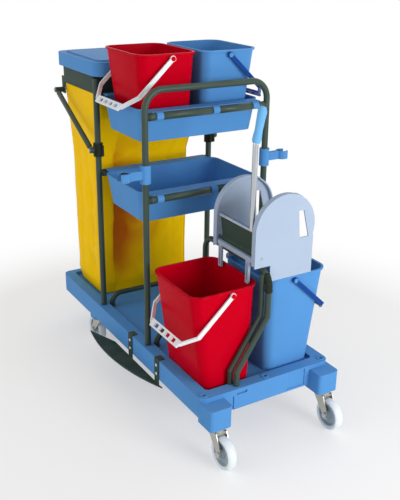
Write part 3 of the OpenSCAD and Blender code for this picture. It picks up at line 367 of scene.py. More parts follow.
def plastic(name, tint, specular=PLASTIC_GLOSS):
    """Moulded plastic with the grain, pale rubbed edges and dust that its name has in the table."""
    material, tree, shader = new_material(name)
    mould = MOULDS[name]
    moulded = group_node(tree, "Moulded surface", Colour=tint, Tone=mould.tone, Roughness=mould.roughness,
                         Grain_Scale=mould.grain)
    pale = tuple(c + (1 - c) * 0.25 for c in tint)
    worn = group_node(tree, "Edge wear", Colour=moulded.outputs["Colour"], Worn=pale, Amount=mould.wear)
    dusty = group_node(tree, "Settled dust", Colour=worn.outputs["Colour"], Amount=mould.dust)
    rough = math_node(tree, "ADD", moulded.outputs["Roughness"],
                      math_node(tree, "MULTIPLY", dusty.outputs["Mask"], 0.8), clamp=True)
    feed(tree, shader, Base_Color=dusty.outputs["Colour"], Roughness=rough, Specular_IOR_Level=specular)
    bump(tree, shader, moulded.outputs["Height"], mould.relief, distance=0.0004, rounding=0.0016)
    return material


def paint(name, tint, bare, roughness=0.3, specular=0.22):
    """Powder-coated steel with an orange-peel skin and bare metal on rubbed edges."""
    material, tree, shader = new_material(name)
    moulded = group_node(tree, "Moulded surface", Colour=tint, Tone=0.22, Roughness=roughness,
                         Grain_Scale=420.0)
    worn = group_node(tree, "Edge wear", Colour=moulded.outputs["Colour"], Worn=bare, Amount=0.45)
    dusty = group_node(tree, "Settled dust", Colour=worn.outputs["Colour"], Amount=0.08)
    bared = math_node(tree, "MULTIPLY", worn.outputs["Mask"], 0.8)
    feed(tree, shader, Base_Color=dusty.outputs["Colour"], Roughness=moulded.outputs["Roughness"],
         Metallic=bared, Specular_IOR_Level=specular)
    bump(tree, shader, moulded.outputs["Height"], strength=0.25, distance=0.0006, rounding=0.0008)
    return material


def metal(name, tint, roughness, along=(1, 1, 1)):
    """Plated steel with brush lines and dulled edges."""
    material, tree, shader = new_material(name)
    lines = group_node(tree, "Brushed lines", Along=along, Roughness=roughness)
    worn = group_node(tree, "Edge wear", Colour=tint, Worn=shaded(tint, 0.62), Amount=0.6)
    dusty = group_node(tree, "Settled dust", Colour=worn.outputs["Colour"], Amount=0.06)
    feed(tree, shader, Base_Color=dusty.outputs["Colour"], Roughness=lines.outputs["Roughness"], Metallic=1.0)
    bump(tree, shader, lines.outputs["Height"], strength=0.12, distance=0.0003, rounding=0.0006)
    return material


def rubber(name, tint, roughness, scuff):
    """Rubber with a matt grain and rolled-on dirt."""
    material, tree, shader = new_material(name)
    moulded = group_node(tree, "Moulded surface", Colour=tint, Tone=0.2, Roughness=roughness,
                         Grain_Scale=380.0)
    dirt = ramp_node(tree, noise_node(tree, scale=34.0, detail=7.0, rough=0.7), low=0.5, high=0.8)
    dirty = mix_colour(tree, math_node(tree, "MULTIPLY", dirt, scuff), moulded.outputs["Colour"],
                       shaded(tint, 0.45))
    feed(tree, shader, Base_Color=dirty, Roughness=moulded.outputs["Roughness"])
    bump(tree, shader, moulded.outputs["Height"], strength=0.3, distance=0.0006, rounding=0.001)
    return material


def bag_material(name, tint, shade):
    """Coated woven sheet: a fine weave, a soft gloss, and painted shade in the folds, darker the deeper they lie.
    """
    material, tree, shader = new_material(name)
    weave = group_node(tree, "Coated weave", Pitch=620.0)
    slow = ramp_node(tree, noise_node(tree, scale=6.0, detail=4.0, rough=0.6), low=0.42, high=0.78)
    crease = ramp_node(tree, noise_node(tree, scale=38.0, detail=5.0, rough=0.6), low=0.45, high=0.75)
    depth = tree.nodes.new("ShaderNodeAttribute")
    depth.attribute_name = "fold_depth"
    # Painted shade: the deeper a fold lies, the more the shade colour covers the sheet; slow noise adds a little
    # random tone on top
    sunk = math_node(tree, "MULTIPLY", depth.outputs["Fac"], 0.88)
    fold_shade_and_tone = math_node(tree, "ADD", sunk, math_node(tree, "MULTIPLY", slow, 0.12), clamp=True)
    tone = mix_colour(tree, fold_shade_and_tone, tint, shade)
    glint = math_node(tree, "MULTIPLY", weave.outputs["Mask"], 0.06)
    rough = math_node(tree, "ADD", math_node(tree, "MULTIPLY", crease, 0.16), 0.4)
    feed(tree, shader, Base_Color=mix_colour(tree, glint, tone, THREAD_GLINT), Roughness=rough,
         Specular_IOR_Level=PLASTIC_GLOSS)
    height = math_node(tree, "ADD", math_node(tree, "MULTIPLY", weave.outputs["Height"], 0.12), crease)
    bump(tree, shader, height, strength=0.35, distance=0.0022)
    return material


# Finishes for the solids, and new pieces

SHARP = 32
TYRE_SHARP = 50


def smoothing_group(degrees):
    """Geometry group that merges doubles and shades smooth all edges under an angle."""
    name = "Smooth by angle %d" % degrees
    group = bpy.data.node_groups.get(name)
    if group is None:
        group = bpy.data.node_groups.new(name, "GeometryNodeTree")
        for way in ("INPUT", "OUTPUT"):
            group.interface.new_socket("Geometry", in_out=way, socket_type="NodeSocketGeometry")
        merge = group.nodes.new("GeometryNodeMergeByDistance")
        faces = group.nodes.new("GeometryNodeSetShadeSmooth")
        edges = group.nodes.new("GeometryNodeSetShadeSmooth")
        edges.domain = "EDGE"
        angle = group.nodes.new("GeometryNodeInputMeshEdgeAngle")
        under = math_node(group, "LESS_THAN", angle.outputs[0], math.radians(degrees))
        feed(group, merge, Geometry=group.nodes.new("NodeGroupInput").outputs[0], Distance=2e-6)
        feed(group, faces, Geometry=merge.outputs[0])
        feed(group, edges, Geometry=faces.outputs[0], Shade_Smooth=under)
        feed(group, group.nodes.new("NodeGroupOutput"), Geometry=edges.outputs[0])
    return group


def finish(material, *names, degrees=SHARP):
    """Gives the named solids a finish and smooth shading."""
    for name in names:
        obj = nodes[name]
        if not obj.material_slots:
            obj.data.materials.append(material)
        for slot in obj.material_slots:
            slot.material = material
        modifier = obj.modifiers.new("Smooth by angle", "NODES")
        modifier.node_group = smoothing_group(degrees)


def add_mesh(name, bm, material, body):
    """Object from a bmesh with its faces turned outwards, its finish and its body."""
    bmesh.ops.recalc_face_normals(bm, faces=bm.faces)
    mesh = bpy.data.meshes.new(name)
    bm.to_mesh(mesh)
    bm.free()
    obj = bpy.data.objects.new(name, mesh)
    bpy.context.scene.collection.objects.link(obj)
    mesh.materials.append(material)
    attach(obj, body)
    return obj


def circle(bm, centre, first, second, radius, steps):
    """Points round a circle in the plane of two directions."""
    angles = (2 * math.pi * k / steps for k in range(steps))
    return [bm.verts.new(centre + (first * math.cos(a) + second * math.sin(a)) * radius) for a in angles]


def skin(bm, rows, around=True, joined=False, smooth=True):
    """Quads between rows of points, closed around each row and, if joined, from the last row to the first."""
    faces = []
    for low, high in zip(rows, rows[1:] + rows[:1] if joined else rows[1:]):
        count = len(low)
        for k in range(count if around else count - 1):
            n = (k + 1) % count
            faces.append(bm.faces.new((low[k], low[n], high[n], high[k])))
            faces[-1].smooth = smooth
    return faces


def lathe(bm, base, axis, profile, steps=24):
    """Turned form about an axis from a list of (radius, height)."""
    side = axis.orthogonal().normalized()
    other = axis.cross(side)
    rings = [circle(bm, base + axis * h, side, other, r, steps) for r, h in profile]
    skin(bm, rings)
    bm.faces.new(rings[0][::-1])
    bm.faces.new(rings[-1])


# Operators that finish the solids, one for each group of like pieces

class CART_OT_mouldings(bpy.types.Operator):
    """Blue mouldings: base, trays, lid, blue buckets and handle clips"""

    bl_idname = "cart.mouldings"
    bl_label = "Blue mouldings"

    def execute(self, context):
        tints = context.scene.cart_colours
        finish(plastic("Blue moulding", tints.moulding), "chassis", "upper_tray", "middle_tray", "lid")
        finish(plastic("Blue bucket", tints.moulding), "large_blue_bucket", "small_blue_bucket")
        finish(plastic("Blue clip", tints.moulding), "left_clip", "right_clip")
        finish(rubber("Clip rubber", tints.rubber, roughness=0.7, scuff=0.3), "left_clip_pad", "right_clip_pad")
        return {"FINISHED"}


class CART_OT_red_buckets(bpy.types.Operator):
    """Red buckets with their white bails, and the navy bails of the blue ones"""

    bl_idname = "cart.red_buckets"
    bl_label = "Red buckets and bails"

    def execute(self, context):
        tints = context.scene.cart_colours
        finish(plastic("Red bucket", tints.bucket_red, RED_GLOSS), "large_red_bucket", "small_red_bucket")
        finish(plastic("White bail", tints.bail_white), "large_red_bail", "small_red_bail")
        finish(plastic("Navy bail", tints.bail_navy), "large_blue_bail", "small_blue_bail")
        return {"FINISHED"}


class CART_OT_tube_frames(bpy.types.Operator):
    """Painted tubes, bag ring, braces and mop rest, with dark collars and caps"""

    bl_idname = "cart.tube_frames"
    bl_label = "Tube frames"

    def execute(self, context):
        tints = context.scene.cart_colours
        finish(paint("Olive paint", tints.tube, tints.steel), "front_hoop", "rear_posts", "front_stop_bar",
               "rear_stop_bar", "wringer_arch", "left_brace", "right_brace")
        flat = paint("Olive band paint", tints.tube, tints.steel, roughness=0.42, specular=BAND_GLOSS)
        finish(flat, "bag_ring", "mop_rest")
        finish(plastic("Dark collar", tints.dark), "tube_caps", "left_collar", "right_collar")
        zinc = metal("Zinc bolt", tints.steel, roughness=0.32, along=(1, 8, 1))
        finish(zinc, "brace_bolts", "lid_hinge_rod")
        return {"FINISHED"}


class CART_OT_wringer(bpy.types.Operator):
    """Press wringer: plates, basket, rail, screws, jaw, lever and grip"""

    bl_idname = "cart.wringer"
    bl_label = "Press wringer"

    def execute(self, context):
        tints = context.scene.cart_colours
        finish(plastic("Wringer plate", tints.wringer), "wringer_front_plate", "wringer_rear_plate",
               "wringer_basket", "wringer_rail")
        finish(plastic("Press jaw", tints.jaw), "press_jaw")
        finish(metal("Lever steel", tints.steel, roughness=0.16), "press_lever")
        finish(metal("Rod steel", tints.steel, roughness=0.26, along=(0.06, 1, 1)), "hinge_rod")
        screw = paint("Painted screw", tints.wringer, tints.steel, roughness=0.36, specular=BAND_GLOSS)
        finish(screw, "wringer_bolts")
        finish(plastic("Lever grip", tints.grip), "lever_grip")
        return {"FINISHED"}


class CART_OT_casters(bpy.types.Operator):
    """Casters: plated forks, wheel centres, pale tyres and axles"""

    bl_idname = "cart.casters"
    bl_label = "Casters"

    def execute(self, context):
        tints = context.scene.cart_colours
        fork = metal("Fork steel", tints.fork, roughness=0.36)
        axle = metal("Axle steel", tints.steel, roughness=0.3, along=(1, 6, 1))
        hub = plastic("Wheel centre", tints.hub)
        tyre = rubber("Pale tyre", tints.tyre, roughness=0.46, scuff=0.28)
        for corner in ("front_left", "front_right", "rear_left", "rear_right"):
            finish(fork, corner + "_fork")
            finish(axle, corner + "_axle")
            finish(hub, corner + "_wheel")
            finish(tyre, corner + "_tyre", degrees=TYRE_SHARP)
        return {"FINISHED"}


# Waste bag

BAG_LEVELS = (
    # z, rear x, front x, half width, corner radius
    (0.1870, -0.547, -0.339, 0.174, 0.034),
    (0.2300, -0.551, -0.335, 0.181, 0.026),
    (0.4500, -0.552, -0.334, 0.182, 0.022),
    (0.7060, -0.551, -0.330, 0.183, 0.022),
    (0.8400, -0.544, -0.288, 0.196, 0.022),
    (0.9420, -0.5362, -0.2542, 0.2081, 0.0225),
    (1.0330, -0.5362, -0.2542, 0.2081, 0.0225),
)
BAG_FOOT, RING_EDGE, BAG_TOP = BAG_LEVELS[0][0], BAG_LEVELS[-2][0], BAG_LEVELS[-1][0]

# The ring holds the sheet above a height, the seams stiffen it beside them, and the deck holds its foot
HELD_FROM, HELD_EASE = 0.945, 0.13
SEAM_FREE, SEAM_EASE, PLEAT_EASE = 0.12, 0.07, 0.03
FOOT_EASE, SLUMP_HEIGHT, SLUMP_SPREAD = 0.06, 0.225, 0.04
LARGEST_BULGE = 0.0055

# Depths between which the sheet turns from its own colour to its painted fold shade
SHADE_FROM, SHADE_TO, SHADE_POWER = 0.004, 0.025, 1.3

# Length along the weave at which the last column of the wall closes on the first
CLOSING_LENGTH = 1.2

# Rings of the bottom, and height and fineness of its ripples
BOTTOM_RINGS, BOTTOM_RIPPLE, BOTTOM_GRAIN = 7, 0.0006, 30

# Place along a face at a height, lean, depth, widths before and after the valley, foot and top
Pleat = namedtuple("Pleat", "place height lean depth before after foot top")
PLEATS = {
    "front": (
        Pleat(-0.112, 0.45, 0.020, 0.0290, 0.010, 0.115, 0.195, 0.80),
        Pleat(0.068, 0.50, 0.160, 0.0100, 0.036, 0.014, 0.24, 0.78),
        Pleat(0.005, 0.40, -0.060, 0.0050, 0.016, 0.030, 0.20, 0.62),
        Pleat(0.118, 0.36, 0.040, 0.0060, 0.014, 0.028, 0.20, 0.60)),
    "left": (
        Pleat(-0.392, 0.46, -0.030, 0.0080, 0.030, 0.012, 0.21, 0.86),
        Pleat(-0.478, 0.52, 0.050, 0.0060, 0.012, 0.034, 0.23, 0.82),
        Pleat(-0.430, 0.32, -0.120, 0.0040, 0.014, 0.022, 0.20, 0.48)),
    "right": (
        Pleat(-0.405, 0.48, 0.040, 0.0100, 0.034, 0.012, 0.21, 0.84),
        Pleat(-0.492, 0.42, -0.050, 0.0070, 0.012, 0.030, 0.21, 0.76),
        Pleat(-0.450, 0.62, 0.090, 0.0040, 0.016, 0.020, 0.46, 0.86)),
    "rear": (
        Pleat(0.084, 0.46, 0.030, 0.0130, 0.012, 0.052, 0.21, 0.84),
        Pleat(-0.066, 0.50, -0.060, 0.0110, 0.044, 0.014, 0.21, 0.82),
        Pleat(0.010, 0.36, 0.080, 0.0050, 0.018, 0.026, 0.20, 0.56),
        Pleat(-0.128, 0.40, 0.020, 0.0060, 0.014, 0.022, 0.21, 0.70)),
}

# Welt of a corner seam across its line, as (sideways, outwards), and the rows of stitches beside it
WELT = ((-0.0045, -0.00214), (-0.003, 0.00054), (0, 0.0017), (0.003, 0.00054), (0.0045, -0.00214))
SEAM_LIFT = 0.004
STITCH_ASIDE, STITCH_SINK, STITCH_HALF, STITCH_RADIUS = 0.0068, 0.0006, 0.0022, 0.0006
STITCH_PROFILE = ((-1.15, 0.35), (-0.85, 0.85), (0, 1), (0.85, 0.85), (1.15, 0.35))

# Eyelets: form, distances from the sheet and from its top, places across and along the cart
EYELET_RADIUS, EYELET_RIM, EYELET_RISE = 0.0062, 0.0022, 0.0012
EYELET_INSET, EYELET_DROP, EYELET_STEPS = 0.0034, 0.015, 20
EYELETS_ACROSS, EYELETS_ALONG = (-0.14, 0.0, 0.14), (-0.08, 0.08)


def between(value, low, high):
    """How far a value lies on the way from low to high, from 0 to 1."""
    return min(1.0, max(0.0, (value - low) / (high - low)))


def bag_section(z):
    """Rear, front, half width and corner radius of the bag at a height, read between the levels."""
    k = 1
    while k < len(BAG_LEVELS) - 1 and z > BAG_LEVELS[k][0]:
        k += 1
    low, high = BAG_LEVELS[k - 1], BAG_LEVELS[k]
    t = between(z, low[0], high[0])
    return [a + (b - a) * t for a, b in zip(low[1:], high[1:])]


def loop_sides(rear, front, half, radius):
    """Corner centres of a rounded rectangle, and the lengths of its sides and arcs from the front one on."""
    mid, sx, sy = (rear + front) / 2, (front - rear) / 2 - radius, half - radius
    arc = math.pi * radius / 2
    corners = [Vector((mid + x, y, 0)) for x, y in ((sx, sy), (-sx, sy), (-sx, -sy), (sx, -sy))]
    return corners, (2 * sy, arc, 2 * sx, arc) * 2


def round_loop(rear, front, half, radius, count):
    """Even points round a rounded rectangle with outward normals and shares of the way round, and its girth."""
    corners, sides = loop_sides(rear, front, half, radius)
    girth = sum(sides)
    points = []
    for i in range(count):
        d = girth * i / count
        k = 0
        while d > sides[k]:
            d -= sides[k]
            k += 1
        side, on_arc = divmod(k, 2)
        angle = math.pi / 2 * side + (d / radius if on_arc else 0)
        normal = Vector((math.cos(angle), math.sin(angle), 0))
        p = corners[side if on_arc else side - 1] + normal * radius
        if not on_arc:
            p += Vector((-normal.y, normal.x, 0)) * d
        points.append((p, normal, i / count))
    return points, girth


def ridge(x, y, z):
    """Sharp-crested noise from 0 to 1, for creases."""
    return (1 - abs(noise.noise(Vector((x, y, z))))) ** 6


def pleat_depth(p, normal, z):
    """Depth of the pleats at a point of the bag, each with a sharp valley and one steep flank."""
    if abs(normal.x) > abs(normal.y):
        face, along = ("front" if normal.x > 0 else "rear"), p.y
    else:
        face, along = ("right" if normal.y > 0 else "left"), p.x
    total = 0.0
    for pleat in PLEATS[face]:
        if pleat.foot < z < pleat.top:
            wander = 0.003 * math.sin(z * 19 + pleat.place * 70)
            d = along - pleat.place - pleat.lean * (z - pleat.height) - wander
            width = pleat.before if d < 0 else pleat.after
            swell = math.sin(math.pi * (z - pleat.foot) / (pleat.top - pleat.foot)) ** 0.7
            total += pleat.depth * swell * math.exp(-(abs(d) / width) ** 1.25)
    return total


def bag_wave(p, normal, share, z, sizes):
    """Movement of the sheet along its normal: hanging pleats, slow swells, creases and a slumped foot."""
    rear, front, half, _ = bag_section(z)
    seam = half - abs(p.y) if abs(normal.x) > abs(normal.y) else min(p.x - rear, front - p.x)
    soft = SEAM_FREE + (1 - SEAM_FREE) * between(seam, 0, SEAM_EASE)
    free = between(z, HELD_FROM, HELD_FROM - HELD_EASE)
    foot = between(z, BAG_FOOT, BAG_FOOT + FOOT_EASE)
    turn = share * 2 * math.pi
    fold = math.sin(turn * 7 + 1.3 * math.sin(z * 6)) * 0.5 + math.sin(turn * 15 + 4 + z * 3) * 0.3
    drift = noise.noise(Vector((p.x * 6, p.y * 6, z * 2.4))) * 1.6
    crease = ridge(p.x * 5 + z * 3, p.y * 5, z * 5 + p.y * 4) + ridge(p.x * 6, p.y * 7 - z * 4, z * 7)
    move = (fold * 0.4 + drift * 0.7 + crease * 0.9 - 0.6) * sizes.fold * free * foot * soft
    move -= pleat_depth(p, normal, z) * between(seam, 0, PLEAT_EASE)
    slump = math.exp(-((z - SLUMP_HEIGHT) / SLUMP_SPREAD) ** 2) * sizes.slump * foot
    return min(move + slump * 0.5, LARGEST_BULGE)


class CART_OT_waste_bag(bpy.types.Operator):
    """Waste bag of coated sheet that hangs in its ring, with hem, seams, stitches and eyelets"""

    bl_idname = "cart.waste_bag"
    bl_label = "Waste bag"

    def execute(self, context):
        tints, sizes = context.scene.cart_colours, context.scene.cart_bag
        cloth = bag_material("Bag sheet", tints.bag, tints.bag_shade_and_thread)
        thread = plastic("Bag thread", shaded(tints.bag_shade_and_thread, 0.8))
        steel = metal("Eyelet", tints.steel, roughness=0.3)
        bag, area = self.sheet(cloth, sizes)
        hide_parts("waste_bag")
        pieces = [self.seams(cloth, sizes), self.stitches(thread, sizes), self.hem(cloth, sizes),
                  self.eyelets(steel)]
        return {"FINISHED"}

    def sheet(self, material, sizes):
        """Wall from foot to mouth and bottom, in one sheet; returns the piece and its area."""
        count = sizes.around
        bm = bmesh.new()
        uv = bm.loops.layers.uv.new("UVMap")
        depth = bm.verts.layers.float.new("fold_depth")
        rows, girths = [], []
        for j in range(sizes.rows + 1):
            z = BAG_FOOT + (BAG_TOP - BAG_FOOT) * j / sizes.rows
            loop, girth = round_loop(*bag_section(z), count)
            row = []
            for p, normal, share in loop:
                move = bag_wave(p, normal, share, z, sizes)
                vert = bm.verts.new((p.x + normal.x * move, p.y + normal.y * move, z))
                # Weight of the painted fold shade, growing with the depth of the fold
                vert[depth] = between(-move, SHADE_FROM, SHADE_TO) ** SHADE_POWER
                row.append(vert)
            rows.append(row)
            girths.append(girth)
        for j in range(sizes.rows):
            for i, face in enumerate(skin(bm, rows[j:j + 2])):
                places = ((i, j), (i + 1, j), (i + 1, j + 1), (i, j + 1))
                for corner, (step, row) in zip(face.loops, places):
                    u = girths[row] * step / count if step < count else CLOSING_LENGTH
                    corner[uv].uv = (u, corner.vert.co.z)
        self.bottom(bm, uv, rows[0])
        area = sum(face.calc_area() for face in bm.faces)
        bag = add_mesh("bag_sheet", bm, material, "cart")
        thick = bag.modifiers.new("Sheet", "SOLIDIFY")
        thick.thickness = sizes.sheet
        thick.offset = -1
        return bag, area

    def bottom(self, bm, uv, edge):
        """Faintly rippled bottom in rings from the wall's lowest row to the middle."""
        centre = sum((v.co for v in edge), Vector()) / len(edge)
        rings = [edge]
        for k in range(1, BOTTOM_RINGS):
            ring = []
            for v in edge:
                q = centre.lerp(v.co, 1 - k / BOTTOM_RINGS)
                q.z = BAG_FOOT + BOTTOM_RIPPLE * noise.noise(q * BOTTOM_GRAIN)
                ring.append(bm.verts.new(q))
            rings.append(ring)
        for face in skin(bm, rings):
            for corner in face.loops:
                corner[uv].uv = corner.vert.co.xy
        bm.faces.new(rings[-1]).smooth = True

    def seam_lines(self, sizes):
        """Lines up the bag's four corners, as lists of points with outward normals."""
        start = BAG_FOOT + SEAM_LIFT
        lines = []
        for corner in range(4):
            angle = math.radians(45 + 90 * corner)
            normal = Vector((math.cos(angle), math.sin(angle), 0))
            line = []
            for j in range(sizes.rows + 1):
                z = start + (RING_EDGE - start) * j / sizes.rows
                section = bag_section(z)
                centres, sides = loop_sides(*section)
                p = centres[corner] + normal * section[3]
                share = (sum(sides[:2 * corner + 1]) + sides[1] / 2) / sum(sides)
                q = p + normal * bag_wave(p, normal, share, z, sizes)
                q.z = z
                line.append((q, normal))
            lines.append(line)
        return lines

    def seams(self, material, sizes):
        """Raised welt along each corner seam."""
        bm = bmesh.new()
        for line in self.seam_lines(sizes):
            rows = []
            for q, normal in line:
                side = Vector((-normal.y, normal.x, 0))
                rows.append([bm.verts.new(q + side * s + normal * h) for s, h in WELT])
            skin(bm, rows, around=False)
        return add_mesh("bag_seams", bm, material, "cart")

    def stitches(self, material, sizes):
        """Two rows of stitches beside each corner seam."""
        bm = bmesh.new()
        for line in self.seam_lines(sizes):
            travel = 0.0
            for (p, normal), (q, _) in zip(line, line[1:]):
                travel += (q - p).length
                if travel < sizes.stitch:
                    continue
                travel = 0.0
                side = Vector((-normal.y, normal.x, 0))
                middle = (p + q) / 2 - normal * STITCH_SINK
                for s in (-1, 1):
                    self.stitch(bm, middle + side * (STITCH_ASIDE * s), (q - p).normalized(), normal)
        return add_mesh("bag_stitches", bm, material, "cart")

    def stitch(self, bm, centre, along, out):
        """Short round-ended thread lying along a direction."""
        side = along.cross(out).normalized()
        rings = [circle(bm, centre + along * STITCH_HALF * t, side, out, STITCH_RADIUS * r, steps=6)
                 for t, r in STITCH_PROFILE]
        skin(bm, rings)
        bm.faces.new(rings[0][::-1])
        bm.faces.new(rings[-1])

    def hem(self, material, sizes):
        """Folded hem round the inside of the mouth, with a rolled edge."""
        bm = bmesh.new()
        rear, front, half, radius = bag_section(BAG_TOP)
        profile = ((0.0012, -sizes.hem), (0.0030, -sizes.hem + 0.002), (0.0028, -0.004), (0.0026, 0.0),
                   (0.0012, 0.0022), (0.0002, 0.0012))
        rows = []
        for inset, rise in profile:
            loop, _ = round_loop(rear + inset, front - inset, half - inset, radius - inset, sizes.around)
            rows.append([bm.verts.new((p.x, p.y, BAG_TOP + rise)) for p, _, _ in loop])
        skin(bm, rows)
        return add_mesh("bag_hem", bm, material, "cart")

    def eyelets(self, material):
        """Pressed metal eyelets in the hem."""
        bm = bmesh.new()
        rear, front, half, _ = bag_section(BAG_TOP)
        z, up = BAG_TOP - EYELET_DROP, Vector((0, 0, 1))
        spots = []
        for y in EYELETS_ACROSS:
            spots += [((rear + EYELET_INSET, y, z), (1, 0, 0)), ((front - EYELET_INSET, y, z), (-1, 0, 0))]
        for x in ((rear + front) / 2 + aside for aside in EYELETS_ALONG):
            spots += [((x, half - EYELET_INSET, z), (0, -1, 0)), ((x, EYELET_INSET - half, z), (0, 1, 0))]
        for spot, out in ((Vector(a), Vector(b)) for a, b in spots):
            side = up.cross(out)
            rings = []
            for k in range(EYELET_STEPS):
                a = 2 * math.pi * k / EYELET_STEPS
                radial = side * math.cos(a) + up * math.sin(a)
                rim, rise = radial * EYELET_RIM, out * EYELET_RISE
                rings.append(circle(bm, spot + radial * EYELET_RADIUS, rim, rise, radius=1, steps=10))
            skin(bm, rings, joined=True)
        return add_mesh("bag_eyelets", bm, material, "cart")


# Small hardware

# Heights of the tray bars, places and half width of the hooks along them, radius of the legs
TRAY_BARS = (0.936, 0.685)
TRAY_HOOKS, HOOK_HALF = (-0.168, 0.024, 0.168), 0.011
LEG_RADIUS = 0.010

# Tube, bend and middle plane of the wringer's arch
ARCH_TUBE, ARCH_BEND, ARCH_Y = 0.009, 0.045, -0.002

# Start and sweep of the elbow's sleeve in degrees, its steps, its straight end and its wall from an end on
ELBOW_FROM, ELBOW_SWEEP, ELBOW_STEPS = 40, 50, 14
ELBOW_TAIL, ELBOW_TAIL_STEP = 4, 0.004
ELBOW_WALLS = (0.0004, 0.0022, 0.0024, 0.0016)

# Welds: distance from the leg, radius, thickness, ripple and steps
WELD_BACK, WELD_RADIUS, WELD_THICK, WELD_RIPPLE, WELD_STEPS = 0.0098, 0.0096, 0.0017, 0.16, 48

# Sleeves of the tray bars: section, distances from hooks and legs, start and sweep of the wall in degrees
SLEEVE_RADIUS, SLEEVE_BORE, SLEEVE_CHAMFER = 0.0118, 0.0088, 0.0008
SLEEVE_GAP, SLEEVE_BACK = 0.0006, 0.0125
SLEEVE_FROM, SLEEVE_SWEEP, SLEEVE_STEPS = 88, 318, 30

# Braces: radius of the eyes, length left free at each, radius of the tube and of the rod inside, chamfer
BRACE_EYE, BRACE_CLEAR, BRACE_TUBE, BRACE_CORE = 0.0095, 0.017, 0.0088, 0.0055
BRACE_EDGE, BRACE_FALL = 0.0012, 0.0014

# Outer face of the mop rest's straps, places of the straps on the rest, heights and form of its screws
STRAP_FACE, STRAP_AHEAD, STRAP_BACK = -0.2363, 0.012, 0.034
SCREW_HEIGHTS = (0.150, 0.180)
SCREW_PROFILE = ((0.006, -0.0002), (0.006, 0.0008), (0.0052, 0.002), (0.003, 0.0029), (0.0012, 0.0031),
                 (0.0011, 0.0020), (0.0004, 0.0020))


